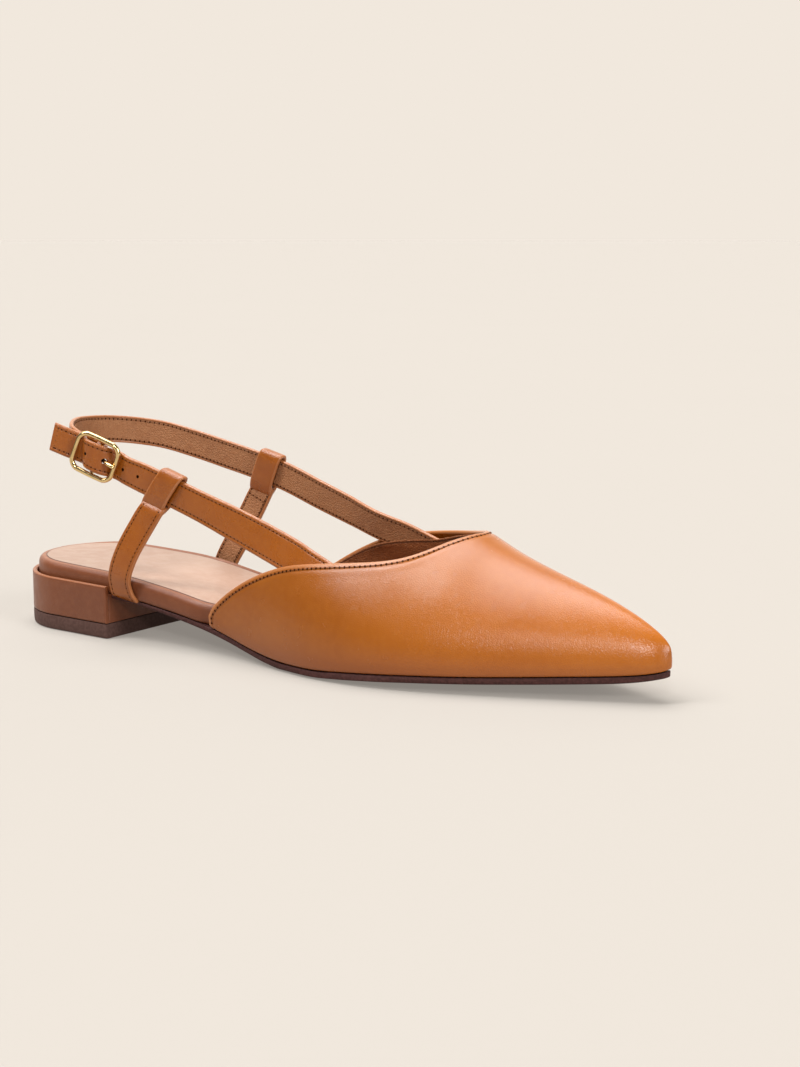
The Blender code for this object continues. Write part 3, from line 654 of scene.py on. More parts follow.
RIM = 0.75                     # radius of the folded topline
RIM_RINGS = 7                  # between the two sides of its fold
ROWS_PER = 5                   # rows of points to each row of the table
NEAR_EDGE = np.array([0.0, 0.35, 0.7, 1.05, 1.4, 1.7, 2.0, 2.3, 2.6, 3.0, 3.6, 4.4, 5.6, 7.2])
NEAR_SPAN = 16.0               # rows shorter than this have NEAR_EDGE squeezed
FAR_COLUMNS = 30
LINING_EDGE = 0.75             # its dark line below the topline, painted shade in the groove there
LINING_GAP, LINING_THICKNESS = 0.06, 0.5   # behind the leather
STITCH_IN = 1.85               # stitching below the folded edge
STITCH_START = 1.2             # from the ends of the topline
FOOT_ROUND = 1.0               # where the leather turns under at the sole
FOOT_TURNS = 0.5, 1.0, 1.35, math.pi / 2   # radians round it
TURNED_UNDER = 1.5             # width of the leather's flat margin under the foot
LAST_ROW = 226.0               # station from which rows crowd towards the tip


def side_name(side):
    return "lateral" if side < 0 else "medial"


def section(station, side, share):
    """Points on the outside of the upper: share 0 at the feather edge, 1 on the crest."""
    station, share = np.broadcast_arrays(np.asarray(station, float), share)
    foot_y = side * read(SOLE, side_name(side), station)
    foot_z = read(SOLE, "top", station) + GAP
    crest_y, crest_z = read(LAST, "crest_y", station), read(LAST, "crest_z", station)
    low_y = foot_y + side * read(LAST, "out", station)
    low_z = foot_z + read(LAST, "rise", station) * (crest_z - foot_z)
    high_y = crest_y + read(LAST, "shoulder", station) * (foot_y - crest_y)
    rest = 1.0 - share
    weights = rest**3, 3 * rest**2 * share, 3 * rest * share**2, share**3
    y = sum(w * v for w, v in zip(weights, (foot_y, low_y, high_y, crest_y)))
    z = sum(w * v for w, v in zip(weights, (foot_z, low_z, crest_z, crest_z)))
    return np.stack([station, y, z], axis=-1)


def upper_rows():
    """Stations where each row of the upper starts, at the feather edge, and where it ends."""
    to_tip = LENGTH - np.linspace(math.sqrt(LENGTH - LAST_ROW), 0.0, 12) ** 2
    pairs = [np.concatenate([column(UPPER_ROWS, name), to_tip]) for name in UPPER_ROWS[0]]
    index = np.arange(len(pairs[0]), dtype=float)
    fine = np.linspace(0, index[-1], int(index[-1]) * ROWS_PER + 1)
    return [monotone(index, pair, fine) for pair in pairs]


def skin_grid(side):
    """The outside as rows of points from the feather edge up, close together near the topline."""
    dense = np.linspace(0.0, 1.0, 121)
    rows = []
    for low, high in zip(*upper_rows()):
        share = 1.0
        if high < THROAT_STATION - 1e-6:
            top = read(TOPLINE, side_name(side), high)
            share = float(np.interp(top, section(high, side, dense)[:, 2], dense))
        line = section(low + (high - low) * dense**1.5, side, dense * share)
        total = lengths(line)[-1]
        near = NEAR_EDGE * min(1.0, total / NEAR_SPAN)
        far = np.linspace(0.0, total - near[-1], FAR_COLUMNS, endpoint=False)
        rows.append(at_lengths(line, np.concatenate([far, total - near[::-1]])))
    grid = np.array(rows)
    return soften(grid.reshape(len(rows), -1), 3.0).reshape(grid.shape)


class Upper:
    """The vamp's outer surface: points, faces, normals, its free edge and its lasted edge."""

    def __init__(self):
        grids = [skin_grid(side) for side in (-1.0, 1.0)]
        rows, columns = grids[0].shape[:2]
        t = int(np.argmin(abs(upper_rows()[1] - THROAT_STATION)))
        ids = numbered(0, rows, columns)
        other = ids + rows * columns
        other[t:, -1] = ids[t:, -1]
        other[-1] = ids[-1]
        crest = (grids[0][t:, -1] + grids[1][t:, -1]) / 2
        for grid in grids:
            grid[t:, -1] = crest
        self.throat, self.ids = t, [ids, other]
        self.points = p = np.concatenate(grids).reshape(-1, 3)
        self.faces = [(a, d, c, b) for a, b, c, d in quads(ids)]
        self.faces += [(b, c, d, a) for a, b, c, d in quads(other)]
        a, b, c, d = np.array(self.faces).T
        turn = np.cross(p[c] - p[a], p[d] - p[b])
        normal = np.zeros_like(p)
        for corner in (a, b, c, d):
            np.add.at(normal, corner, turn)
        self.normal = unit(normal)
        if self.normal[ids[rows // 2, 8], 1] > 0:
            self.normal = -self.normal
        lateral = np.concatenate([ids[0, :-1], ids[: t + 1, -1]])
        self.edge = np.concatenate([lateral, other[:t, -1][::-1], other[0, :-1][::-1]])
        self.foot = np.concatenate([other[:, 0], ids[:-1, 0][::-1]])
        self.shape_edge()

    def shape_edge(self):
        """Draws the skin back from its free edge by the rim's radius, and up from the sole."""
        p, n = self.points, self.normal
        line = p[self.edge]
        along = unit(soften(np.gradient(line, axis=0), 3.0))
        beyond = unit(np.cross(along, n[self.edge]))
        vamp = p[self.ids[0][self.throat + 3 * ROWS_PER, -1]]
        at_throat = len(line) // 2
        if (line[at_throat] - vamp) @ beyond[at_throat] < 0:
            beyond = -beyond
        self.line, self.beyond = line, beyond
        self.gap = gap = np.full(len(p), 99.0)
        nearest = np.zeros(len(p), int)
        for chunk in np.array_split(np.unique(np.array(self.faces)), 40):
            apart = np.linalg.norm(p[chunk][:, None] - line[None], axis=2)
            nearest[chunk] = apart.argmin(axis=1)
            gap[chunk] = apart.min(axis=1)
        moved = p - beyond[nearest] * (RIM * smoothstep(1.0 - gap / 6.0))[:, None]
        feet = [p[ids[:, 0]] for ids in self.ids]
        low = [np.interp(p[:, 0], foot[:, 0], foot[:, 2]) for foot in feet]
        low = np.where(np.arange(len(p)) < len(p) // 2, *low)
        moved[:, 2] += FOOT_ROUND * smoothstep(1.0 - (p[:, 2] - low) / 5.0)
        puff = 0.07 * bell(gap, 0.9, 0.55) + 0.05 * bell(gap, 3.4, 1.0)
        self.plain = moved
        self.points = moved + n * (puff - 0.13 * bell(gap, STITCH_IN, 0.32))[:, None]


def grown(field, steps):
    """Each value raised to the largest within so many rows."""
    wide = np.pad(field, ((steps, steps), (0, 0)), "edge")
    return np.max([wide[k : k + len(field)] for k in range(2 * steps + 1)], axis=0)


def strap_cover(upper, straps):
    """How far in the lining has to stand, over the strap ends under it and softly round them."""
    trees = []
    for strap in straps:
        points = [tuple(v.co) for v in strap.data.vertices]
        faces = [tuple(f.vertices) for f in strap.data.polygons]
        trees.append(BVHTree.FromPolygons(points, faces))
    reach = np.zeros(len(upper.points))
    starts = to_world(upper.plain)
    for k in np.unique(np.array(upper.faces)):
        start, inward = Vector(starts[k]), Vector(-upper.normal[k])
        for tree in trees:
            place = start + inward * (RIM * MM)
            for _ in range(8):
                hit = tree.ray_cast(place, inward, 9 * MM)[0]
                if hit is None:
                    break
                reach[k] = max(reach[k], (hit - start).dot(inward) / MM)
                place = hit + inward * 1e-5
    out = np.zeros(len(reach))
    for ids in upper.ids:
        wide = grown(grown(np.maximum(reach[ids] - 2 * RIM, 0.0), 2).T, 3).T
        out[ids] = np.maximum(soften(soften(wide, 3.0).T, 2.0).T, 0.0)
    return out


def make_upper(upper, straps):
    p, n, gap, beyond = upper.points, upper.normal, upper.gap, upper.beyond
    edge, foot = upper.edge, upper.foot
    count = len(p)
    both_sides = upper.faces + [tuple(count + k for k in face[::-1]) for face in upper.faces]

    points = [p, upper.plain - n * 2 * RIM]
    centre = p[edge] - n[edge] * RIM
    for k in range(1, RIM_RINGS + 1):
        turn = k * math.pi / (RIM_RINGS + 1)
        points.append(centre + RIM * (n[edge] * math.cos(turn) + beyond * math.sin(turn)))
    outward = unit(n[foot] * (1.0, 1.0, 0.0))
    down = np.array([0.0, 0.0, FOOT_ROUND])
    for turn in FOOT_TURNS:
        inward = outward * FOOT_ROUND * (1 - math.cos(turn))
        points.append(p[foot] - inward - down * math.sin(turn))
    points.append(points[-1] - outward * TURNED_UNDER)
    rim_ids = numbered(2 * count, RIM_RINGS, len(edge))
    foot_ids = numbered(rim_ids[-1, -1] + 1, len(FOOT_TURNS) + 1, len(foot))
    faces = both_sides + quads([edge, *rim_ids, count + edge])
    faces += quads([foot, *foot_ids, count + foot])
    # The rim mark along the rolled topline is a painted highlight.
    rim = [0.75 * smoothstep(1.0 - gap / 1.2), np.zeros(count), np.ones(rim_ids.size)]
    marks = {"rim": np.concatenate([*rim, np.zeros(foot_ids.size)])}
    add_mesh("vamp_leather", (np.concatenate(points), faces), TAN, "upper", marks=marks)

    depth = 2 * RIM + LINING_GAP + strap_cover(upper, straps)
    back_face = upper.plain - n * depth[:, None]
    depth += LINING_THICKNESS - 0.22 * bell(gap, LINING_EDGE, 0.2)
    front_face = upper.plain - n * depth[:, None]
    loop = np.concatenate([edge, foot[1:]])
    lip = (back_face[loop] + front_face[loop]) / 2
    lip[: len(edge)] += beyond * 0.2
    faces = both_sides + quads([loop, 2 * count + np.arange(len(loop)), count + loop])
    rim = smoothstep(1.0 - gap / (LINING_EDGE + 0.15))
    # The dark line just below the lining's edge is painted shade in the groove there.
    line = 0.85 * bell(gap, LINING_EDGE, 0.25)
    marks = {
        "rim": np.concatenate([rim, rim, np.ones(len(loop))]),
        "line": np.concatenate([line, line, np.zeros(len(loop))]),
    }
    shape = np.concatenate([back_face, front_face, lip]), faces
    add_mesh("vamp_lining", shape, VAMP_LINING, "upper", marks=marks)

    skin = BVHTree.FromPolygons(p.tolist(), upper.faces)
    path = upper.line - beyond * STITCH_IN
    for sigma in (2.0, 0.0):
        hits = [skin.find_nearest(Vector(place)) for place in path]
        path, facing = (np.array([hit[k] for hit in hits]) for k in (0, 1))
        path = soften(path, sigma) if sigma else path
    facing = soften(facing * np.where(facing[:, 2:] < -0.2, -1.0, 1.0), 1.5)
    run = lengths(path)
    kept = (run > STITCH_START) & (run < run[-1] - STITCH_START)
    add_stitches("topline", [(path[kept], unit(facing[kept]))], "upper", 0.84)


# ---- straps

STRAP_PITCH = 0.8
STRAP_SHARP = 50               # degrees between faces that show as an edge
EDGE_STEPS = np.array([0.0, 0.06, 0.2, 0.42, 0.7, 1.0, 1.3, 1.55, 1.75, 1.95, 2.2, 2.7, 3.5])
STRAP_STITCH = 1.45            # stitching in from a strap's edges
ON_LEATHER, ON_LINING = 0.66, -0.83   # where threads lie, outwards from a strap's middle
BEND, BEND_MIDDLE, BEND_REACH = 0.8, 17.0, 6.0   # outwards, of the sling strap before the vamp
TUCK, TUCK_DROP, TUCK_REACH = 4.8, 1.4, 22.0   # of the back strap's end behind the vamp's lining
FOOT_SLANT = math.radians(14.0)   # of the heel straps' lower ends
FOLD_SHOWN = 0.75              # how far the leather turns in on the lining side
FOLD_END = 14.0                # of the back strap's fold round the bar, along the strap
PUNCH_RADII = 0.6, 0.95        # of a plain hole and of the one the prong goes through
PRONG_STRETCH, PUNCH_REACH = 1.35, 2.5
HEEL_STRAP_WIDTH = 10.0
HEEL_STRAP_TURN = 9.0          # length over which each end turns to its own direction
# Half the section of a loop's wall: growth from its inside, run in from its end, edge mark.
LOOP_SECTION = (
    (0.15, 0.45, 1.0), (0.45, 0.1, 1.0), (0.75, 0.0, 1.0), (1.05, 0.1, 1.0),
    (1.28, 0.35, 1.0), (1.38, 0.8, 0.25), (LOOP_WALL, 1.6, 0.0), (LOOP_WALL, 3.5, 0.0),
)


def strap_frames(path, sign):
    """Unit vectors along, outwards and up across a strap, turned by its path's lean."""
    along = unit(np.gradient(path[:, :3], axis=0))
    level = unit(np.cross(along, (0.0, 0.0, 1.0)) * sign)
    up = unit(np.cross(level, along) * sign)
    up *= np.sign(up[:, 2:3])
    c, s = np.cos(np.radians(path[:, 4:])), np.sin(np.radians(path[:, 4:]))
    return along, level * c + up * s, up * c - level * s


def buckle_axes():
    """Unit vectors along the strap at the buckle, across it and outwards."""
    turn, slope = math.radians(BUCKLE_TURN), math.radians(BUCKLE_SLOPE)
    flat = np.array([math.cos(turn), math.sin(turn), 0.0])
    along = flat * math.cos(slope) - (0.0, 0.0, math.sin(slope))
    outward = np.array([flat[1], -flat[0], 0.0])
    return along, np.cross(outward, along), outward


def buckle_point(along, across, outward):
    t, w, n = buckle_axes()
    return np.array(BUCKLE_CENTRE) + along * t + across * w + outward * n


def sling_path(pitch):
    weave = [[*buckle_point(s, 0.0, n), WEAVE_WIDTH, 0.0] for s, n in WEAVE[1:]]
    return through([*weave, *SLING[1:]], pitch)


def back_path(pitch):
    bar = [[*buckle_point(s, 0.0, -BACK_DEPTH), 10.0, 0.0] for s in (-0.6, -3.5, -6.5)]
    return through([*bar, *BACK_STRAP[1:]], pitch)


def leather_profile(half):
    """(across, out) points round the leather of a strap, and how much of each is rim."""
    steps = np.concatenate([EDGE_STEPS, [half]])
    corner = 0.55 * (1 - np.sqrt(1 - (np.clip(0.7 - steps, 0, 0.7) / 0.7) ** 2))
    outer = 0.74 - corner + 0.06 * steps / half
    outer += 0.05 * bell(steps, 0.95, 0.4) - 0.12 * bell(steps, STRAP_STITCH, 0.3)
    inner = -0.78 + corner + 0.35 * smoothstep((steps - FOLD_SHOWN + 0.12) / 0.2)
    left, right = -half + steps, half - steps
    rim_out = 0.75 * smoothstep(1.0 - steps / 0.7)
    rim_in = np.where(steps < FOLD_SHOWN + 0.1, 1.0, 0.0)
    across = np.concatenate([left, right[-2::-1], right[:-1], left[-1:0:-1], left[:1]])
    out, rim = (
        np.concatenate([front, front[-2::-1], back[:-1], back[-1:0:-1], back[:1]])
        for front, back in ((outer, inner), (rim_out, rim_in))
    )
    return across, out, rim


def lining_profile(half):
    own = half - FOLD_SHOWN - 0.1
    side = [1, 0.98, 0.9, 0.6, 0.3]
    across = np.array([-1, *(-a for a in side), 0, *side[::-1], 1, 0.5, 0, -0.5]) * own
    out = np.array([-0.4, -0.72, -0.8] + [ON_LINING] * 7 + [-0.8, -0.72, -0.4] + [-0.4] * 3)
    # line marks painted shade in the grooves along the lining's edges.
    line = np.array([1.0, 0.8, 0.4] + [0.0] * 7 + [0.4, 0.8, 1.0] + [0.0] * 3)
    return across, out, line


def fold_profile(half):
    across, out, line = lining_profile(half + FOLD_SHOWN + 0.05)
    return across, np.where(out < -0.5, out - 0.03, out), line * 0.0


def add_layer(name, node, strap, profile, slant=None):
    """One layer of a strap as a piece; slant draws out its first end.

    Each row of strap has a place, the ways up and outward, and the width.
    """
    shapes = [profile(row[9] / 2) for row in strap]
    rings = np.array([
        row[:3] + np.outer(across, row[3:6]) + np.outer(out, row[6:9])
        for row, (across, out, _) in zip(strap, shapes)
    ])
    if slant is not None:
        for k, share in enumerate(np.linspace(1.0, 0.0, 8)):
            rings[k] -= slant * share * ((rings[k] - strap[k, :3]) @ strap[k, 3:6])[:, None]
    finish, mark = (LINING, "line") if profile is lining_profile else (STRAP_TAN, "rim")
    marks = {mark: np.concatenate([*(shape[2] for shape in shapes), [0.0, 0.0]])}
    return add_mesh(name, swept(rings), finish, node, marks=marks, sharp=STRAP_SHARP)


def edge_rows(strap, start, end, lining=True):
    """Stitch rows near both edges, on the leather and, where it has one, on the lining."""
    run = lengths(strap)
    own = strap[(run >= start) & (run <= run[-1] - end)]
    place, up, outward, half = own[:, :3], own[:, 3:6], own[:, 6:9], own[:, 9:] / 2
    rows = []
    for sign in (-1.0, 1.0):
        line = place + up * (sign * (half - STRAP_STITCH))
        rows.append((line + outward * ON_LEATHER, outward))
        if lining:
            line = place + up * (sign * (half - FOLD_SHOWN - 0.55))
            rows.append((line + outward * ON_LINING, -outward))
    return rows


def cross_row(row, inset, out, slant=0.0):
    """A stitch row straight across a strap, on the side that out points to."""
    across = np.linspace(-1.0, 1.0, 9)[:, None] * (row[9] / 2 - inset)
    line = row[:3] + (row[3:6] - slant) * across + row[6:9] * out
    return line, np.repeat(math.copysign(1.0, out) * row[None, 6:9], 9, axis=0)


def punch(piece, centre, axis, along, radius, stretch):
    """Cuts a hole through a piece, stretched along the strap; its wall is painted dark, as painted
    shade in the hole.
    """
    side = np.cross(axis, along)
    ring = np.array([math.cos(a) * stretch * along + math.sin(a) * side for a in full_turn(24)])
    ends = [centre + axis * far + radius * ring for far in (-PUNCH_REACH, PUNCH_REACH)]
    points, faces = swept(ends)
    mesh = bpy.data.meshes.new("punch")
    mesh.from_pydata(to_world(points).tolist(), [], faces)
    mesh.materials.append(HOLE_SHADE)
    cutter = add_object("punch", mesh)
    modifier = piece.modifiers.new("punch", "BOOLEAN")
    modifier.operation = "DIFFERENCE"
    modifier.solver = "EXACT"
    modifier.material_mode = "TRANSFER"
    modifier.object = cutter
    graph = bpy.context.evaluated_depsgraph_get()
    cut = bpy.data.meshes.new_from_object(piece.evaluated_get(graph))
    piece.modifiers.clear()
    piece.data = cut
    bpy.data.objects.remove(cutter)
    bpy.data.meshes.remove(mesh)


def make_sling_strap():
    node = "sling_strap"
    path = sling_path(STRAP_PITCH)
    run = lengths(path)
    bend = BEND * bell(run[-1] - run, BEND_MIDDLE, BEND_REACH)
    path[:, :3] += strap_frames(path, 1.0)[1] * bend[:, None]
    along, outward, up = strap_frames(path, 1.0)
    strap = np.column_stack([path[:, :3], up, outward, path[:, 3]])
    slant = along[0] * TAIL_SLANT
    layers = [
        add_layer("sling_leather", node, strap, leather_profile, slant),
        add_layer("sling_lining", node, strap[2:], lining_profile),
    ]
    off = np.linalg.norm(strap[:, :3] - buckle_point(0.0, 0.0, 0.65), axis=1)
    middle = run[np.argmin(off)]
    for at in PUNCHED + (PRONG_HOLE,):
        k = int(np.argmin(abs(run - middle - at)))
        prong = at == PRONG_HOLE
        for layer in layers:
            stretch = PRONG_STRETCH if prong else 1.0
            punch(layer, strap[k, :3], outward[k], along[k], PUNCH_RADII[prong], stretch)
    rows = edge_rows(strap, 2.0, 1.0)
    rows.append(cross_row(strap[2], STRAP_STITCH, ON_LEATHER, slant * 0.75))
    add_stitches("sling", rows, node)
    return layers[0]


def make_back_strap():
    node = "back_strap"
    path = back_path(STRAP_PITCH)
    further = np.arange(1.0, TUCK / STRAP_PITCH)[:, None]
    onwards = (path[-1] - path[-2]) * (1, 1, 1, 0, 0)
    path = np.concatenate([path, path[-1] + onwards * further])
    run = lengths(path)
    path[:, 2] -= TUCK_DROP * smoothstep(1.0 - (run[-1] - run) / TUCK_REACH)
    run = lengths(path)
    _, outward, up = strap_frames(path, -1.0)
    strap = np.column_stack([path[:, :3], up, outward, path[:, 3]])
    leather_piece = add_layer(node + "_leather", node, strap, leather_profile)
    start = int(np.argmax(run > FOLD_END))
    add_layer(node + "_lining", node, strap[start:], lining_profile)
    fold = strap[:start] - np.eye(10)[9] * 0.5
    add_layer(node + "_fold", node, fold, fold_profile)
    rows = edge_rows(strap, FOLD_END, 1.0)
    rows += edge_rows(strap, 3.0, run[-1] - FOLD_END + 1.0, lining=False)
    rows.append(cross_row(strap[start - 2], 1.4, ON_LINING - 0.03))
    add_stitches(node, rows, node)

    inside, slot = BAR_WIRE / 2 + GAP, 0.6 * PRONG_SLOT
    outside = inside + FOLD_WALL
    ends = (0.0, inside), (0.0, inside + 0.8), (0.15, outside - 0.1), (0.4, outside)
    barrels = []
    for low, high in ((-FOLD_HALF_WIDTH, -slot), (slot, FOLD_HALF_WIDTH)):
        section_points = [(low + at, radius) for at, radius in ends]
        section_points += [(high - at, radius) for at, radius in ends[::-1]]
        points = np.array([
            buckle_point(radius * math.cos(a), across, radius * math.sin(a) - BAR_DEPTH)
            for across, radius in section_points for a in full_turn(40)
        ])
        barrels.append((points, tube_faces(len(section_points), 40, True)))
    add_mesh(node + "_bar_fold", merged(barrels), STRAP_TAN, node, sharp=60)
    return leather_piece


def loop_place(side):
    """Centre and axes of a heel strap's loop, the slope of its lean, and its strap's width."""
    path = sling_path(2.4) if side < 0 else back_path(3.6)
    station, lean = LOOPS[1] if side < 0 else LOOPS[2]
    own_side = path[:, 1] * side > HEEL_RADIUS / 2
    k = np.argmin(np.where(own_side, abs(path[:, 0] - station), LENGTH))
    along, outward, up = (axis[k] for axis in strap_frames(path, -side))
    centre = path[k, :3] - along * LOOP_SHIFT
    return centre, along, outward, up, math.tan(math.radians(lean)), path[k, 3]


def make_heel_strap(node, table, side):
    centre, along, outward, up, lean, strap_width = loop_place(side)
    half_up = strap_width / 2 + LOOP_CLEARANCE
    half_out = STRAP_THICKNESS / 2 + LOOP_CLEARANCE
    steps = [(grow, at - LOOP_LENGTH / 2) for grow, at, _ in LOOP_SECTION]
    steps += [(grow, -end) for grow, end in steps[::-1]]
    points = []
    for turn in full_turn(96):
        c, s = math.cos(turn), math.sin(turn)
        across, rise = (math.copysign(abs(v) ** LOOP_SQUARENESS, v) for v in (c, s))
        closing = max(-rise, 0.0)
        across += (c - across) * closing
        for grow, end in steps:
            h = (half_up + grow) * rise - LOOP_FOOT * grow / LOOP_WALL * closing**3
            q = (half_out + grow) * across
            points.append(centre + up * h + outward * q + along * (end + lean * h))
    shape = np.array(points), tube_faces(96, len(steps), True)
    mark = [mark for _, _, mark in LOOP_SECTION]
    marks = {"rim": np.tile(mark + mark[::-1], 96)}
    add_mesh(node + "_loop", shape, STRAP_TAN, node, marks=marks, sharp=60)

    foot = centre + along * LOOP_SHIFT * 0.35 - (up + along * lean) * (half_up + LOOP_WALL * 0.6)
    path = through([*table[1:], foot], STRAP_PITCH)
    direction = unit(np.gradient(path, axis=0))
    across = unit(np.cross(direction, (0.0, 1.0, 0.0)))
    across *= np.sign(across[:, :1])
    run = lengths(path)
    at_foot = smoothstep(1.0 - run / HEEL_STRAP_TURN)[:, None]
    at_loop = smoothstep(1.0 - (run[-1] - run) / HEEL_STRAP_TURN)[:, None]
    slanted = np.array([math.cos(FOOT_SLANT), 0.0, -math.sin(FOOT_SLANT)])
    across = unit(across * (1 - at_foot - at_loop) + slanted * at_foot + along * at_loop)
    face = unit(np.cross(across, direction))
    face *= np.sign(face[:, 1:2]) * side
    strap = np.column_stack([path, across, face, np.full(len(path), HEEL_STRAP_WIDTH)])
    add_layer(node + "_leather", node, strap, leather_profile)
    add_layer(node + "_lining", node, strap[:-2], lining_profile)
    rows = edge_rows(strap, 1.0, 2.4)
    rows += [cross_row(strap[-8], STRAP_STITCH, out) for out in (ON_LEATHER, ON_LINING)]
    add_stitches(node, rows, node)


# ---- buckle

BUCKLE_SHARP = 60
BAR_SIDE = (
    ("in from the frame", "outward"),
    (0.0, 0.0),
    (0.1, -1.1),
    (0.6, -BAR_DEPTH + 0.2),
    (1.4, -BAR_DEPTH),
    (3.0, -BAR_DEPTH),
)
HOOK_TURNS = -20, -60, -100, -140, -180, -220, -255   # degrees, of the prong round the bar
PRONG_RUN = (("along", "outward"), (1.9, -1.05), (3.6, -0.2), (5.6, 1.35), (8.0, 1.98), (8.9, 1.9))
PRONG_TIP = 0.45               # length of the prong's rounded tip


def wire(path, axis, diameter, closed=False):
    """Rings of a round wire along a path that lies square to the axis."""
    along = np.gradient(path, axis=0)
    if closed:
        along = np.roll(path, -1, axis=0) - np.roll(path, 1, axis=0)
    other = unit(np.cross(unit(along), axis))
    turns = full_turn(18)
    radius = np.broadcast_to(np.asarray(diameter) / 2, len(path))
    return np.array([
        p + r * (np.outer(np.cos(turns), axis) + np.outer(np.sin(turns), o))
        for p, o, r in zip(path, other, radius)
    ])


def make_buckle():
    t, w, n = buckle_axes()
    half = np.array([BUCKLE_LENGTH, BUCKLE_WIDTH]) / 2
    corners = []
    for quarter, signs in enumerate(((1, 1), (-1, 1), (-1, -1), (1, -1))):
        turn = np.linspace(0.0, math.pi / 2, 16) + quarter * math.pi / 2
        arc = np.column_stack([np.cos(turn), np.sin(turn)])
        corners.append(signs * (half - BUCKLE_CORNER) + BUCKLE_CORNER * arc)
    path = []
    for corner, following in zip(corners, corners[1:] + corners[:1]):
        straight = following[0] - corner[-1]
        path += [*corner, *(corner[-1] + straight * share for share in (0.25, 0.5, 0.75))]
    path = np.array(path)
    path *= 1 + BUCKLE_BOW / half * (1 - (path / half)[:, ::-1] ** 2)
    rings = wire(np.array([buckle_point(*at, 0.0) for at in path]), n, BUCKLE_WIRE, closed=True)
    parts = [(rings.reshape(-1, 3), tube_faces(*rings.shape[:2], True))]
    side = [(inward - half[1], out) for inward, out in BAR_SIDE[1:]]
    side += [(0.0, -BAR_DEPTH), *((-across, out) for across, out in side[::-1])]
    bar = through([buckle_point(0.0, *at) for at in side], 0.5)
    parts.append(swept(wire(bar, t, BAR_WIRE)))
    add_mesh("buckle_wire", merged(parts), BRASS, "buckle_frame", sharp=BUCKLE_SHARP)
    reach = BAR_WIRE / 2 + GAP + PRONG_WIRE / 2
    angles = [math.radians(turn) for turn in HOOK_TURNS]
    hook = [(reach * math.cos(a), reach * math.sin(a) - BAR_DEPTH) for a in angles]
    prong = through([buckle_point(s, 0.0, out) for s, out in [*hook, *PRONG_RUN[1:]]], 0.3)
    run = lengths(prong)
    near_tip = 1 - np.clip((run[-1] - run) / PRONG_TIP, 0.02, 1)
    girth = PRONG_WIRE * np.sqrt(np.clip(1 - near_tip**2, 0.01, 1))
    shape = swept(wire(prong, w, girth))
    add_mesh("buckle_tongue", shape, BRASS, "buckle_prong", sharp=BUCKLE_SHARP)


# ---- sole, heel and footbed

TOE_ROWS = 236.0               # station from which rows crowd towards the tip
SOLE_INSET = 0.5
# The sole's lower edge, from its flat middle out: share of the half width, height.
SOLE_EDGE = (0.6, 0.0), (0.85, 0.14), (0.93, 0.35), (0.975, 0.5), (0.993, 0.66), (1.0, 0.85)
BEAD, BEAD_INSET, BEAD_WIDTH = 0.7, 1.5, 0.8   # the wrap's roll over the sock, medial side
WRAP = (
    ("inset", "share of the thickness", "lift", "rim"),
    (0.9, 0.0, 0.0, 0.0),
    (0.35, 0.04, 0.0, 0.0),
    (0.05, 0.14, 0.0, 0.0),
    (0.0, 0.3, 0.0, 0.0),
    (0.0, 0.6, 0.0, 0.0),
    (0.12, 0.75, 0.0, 0.0),
    (0.45, 0.87, 0.0, 0.0),
    # The rim marks on the wrap's top paint a highlight along the footbed's edge.
    (1.0, 0.95, 0.0, 0.2),
    (1.7, 0.985, 0.0, 0.4),
    (2.4, 0.995, 0.0, 0.4),
    (2.9, 0.995, 0.0, 0.2),
    (3.3, 0.95, 0.0, 0.0),
)
SOCK_LAYERS = (
    ("inset", "share of the thickness", "lift", "rim"),
    (2.8, 0.99, -0.3, 1.0),
    (2.72, 0.99, -0.02, 1.0),
    (2.78, 0.99, 0.1, 1.0),
    (3.0, 0.99, 0.15, 1.0),
    (3.2, 0.99, 0.16, 0.1),
    (3.6, 0.99, 0.16, 0.0),
    (4.5, 0.99, 0.12, 0.0),
    (6.0, 0.99, 0.08, 0.0),
    (9.0, 0.99, 0.04, 0.0),
    (13.0, 0.99, 0.0, 0.0),
)
# Layers of the heel's top lift: height, inset.
LIFT_LAYERS = (
    (0.0, 0.9), (0.12, 0.5), (0.4, 0.22), (0.9, 0.08), (2.5, 0.0), (4.6, 0.0),
    (TOP_LIFT_HEIGHT, 0.1),
)
BREAST_CORNER, WALL_CORNER = 0.9, 0.45   # radii of the heel's upright edges in front
RIM_RISE, RIM_HIGHLIGHT = 0.6, 0.45   # of the round top of the heel's wall; the mark is a painted highlight along it


def feather(station, inset):
    """Lateral and medial points (station, y) of the feather edge, moved inwards by inset."""
    sides = []
    for sign in (-1.0, 1.0):
        edge = np.stack([station, sign * read(SOLE, side_name(sign), station)], axis=1)
        along = np.gradient(edge, axis=0)
        along[-1] = (0.0, -sign)
        normal = unit(np.stack([along[:, 1], -along[:, 0]], axis=1)) * sign
        sides.append(edge + normal * np.reshape(inset, (-1, 1)))
    return sides


def with_height(edges, heights):
    return [np.column_stack([edge, height]) for edge, height in zip(edges, heights)]


def seat_height(station):
    flat = SEAT_BACK + SEAT_SLOPE * station
    return np.where(station < HEEL_BREAST, flat, read(SOLE, "top", station))


def round_back(radius, end, count):
    """Points (station, y) from the middle of the round back to the medial side."""
    turn = np.linspace(0.0, end, count)
    return np.stack([HEEL_RADIUS - radius * np.cos(turn), radius * np.sin(turn)], axis=1)


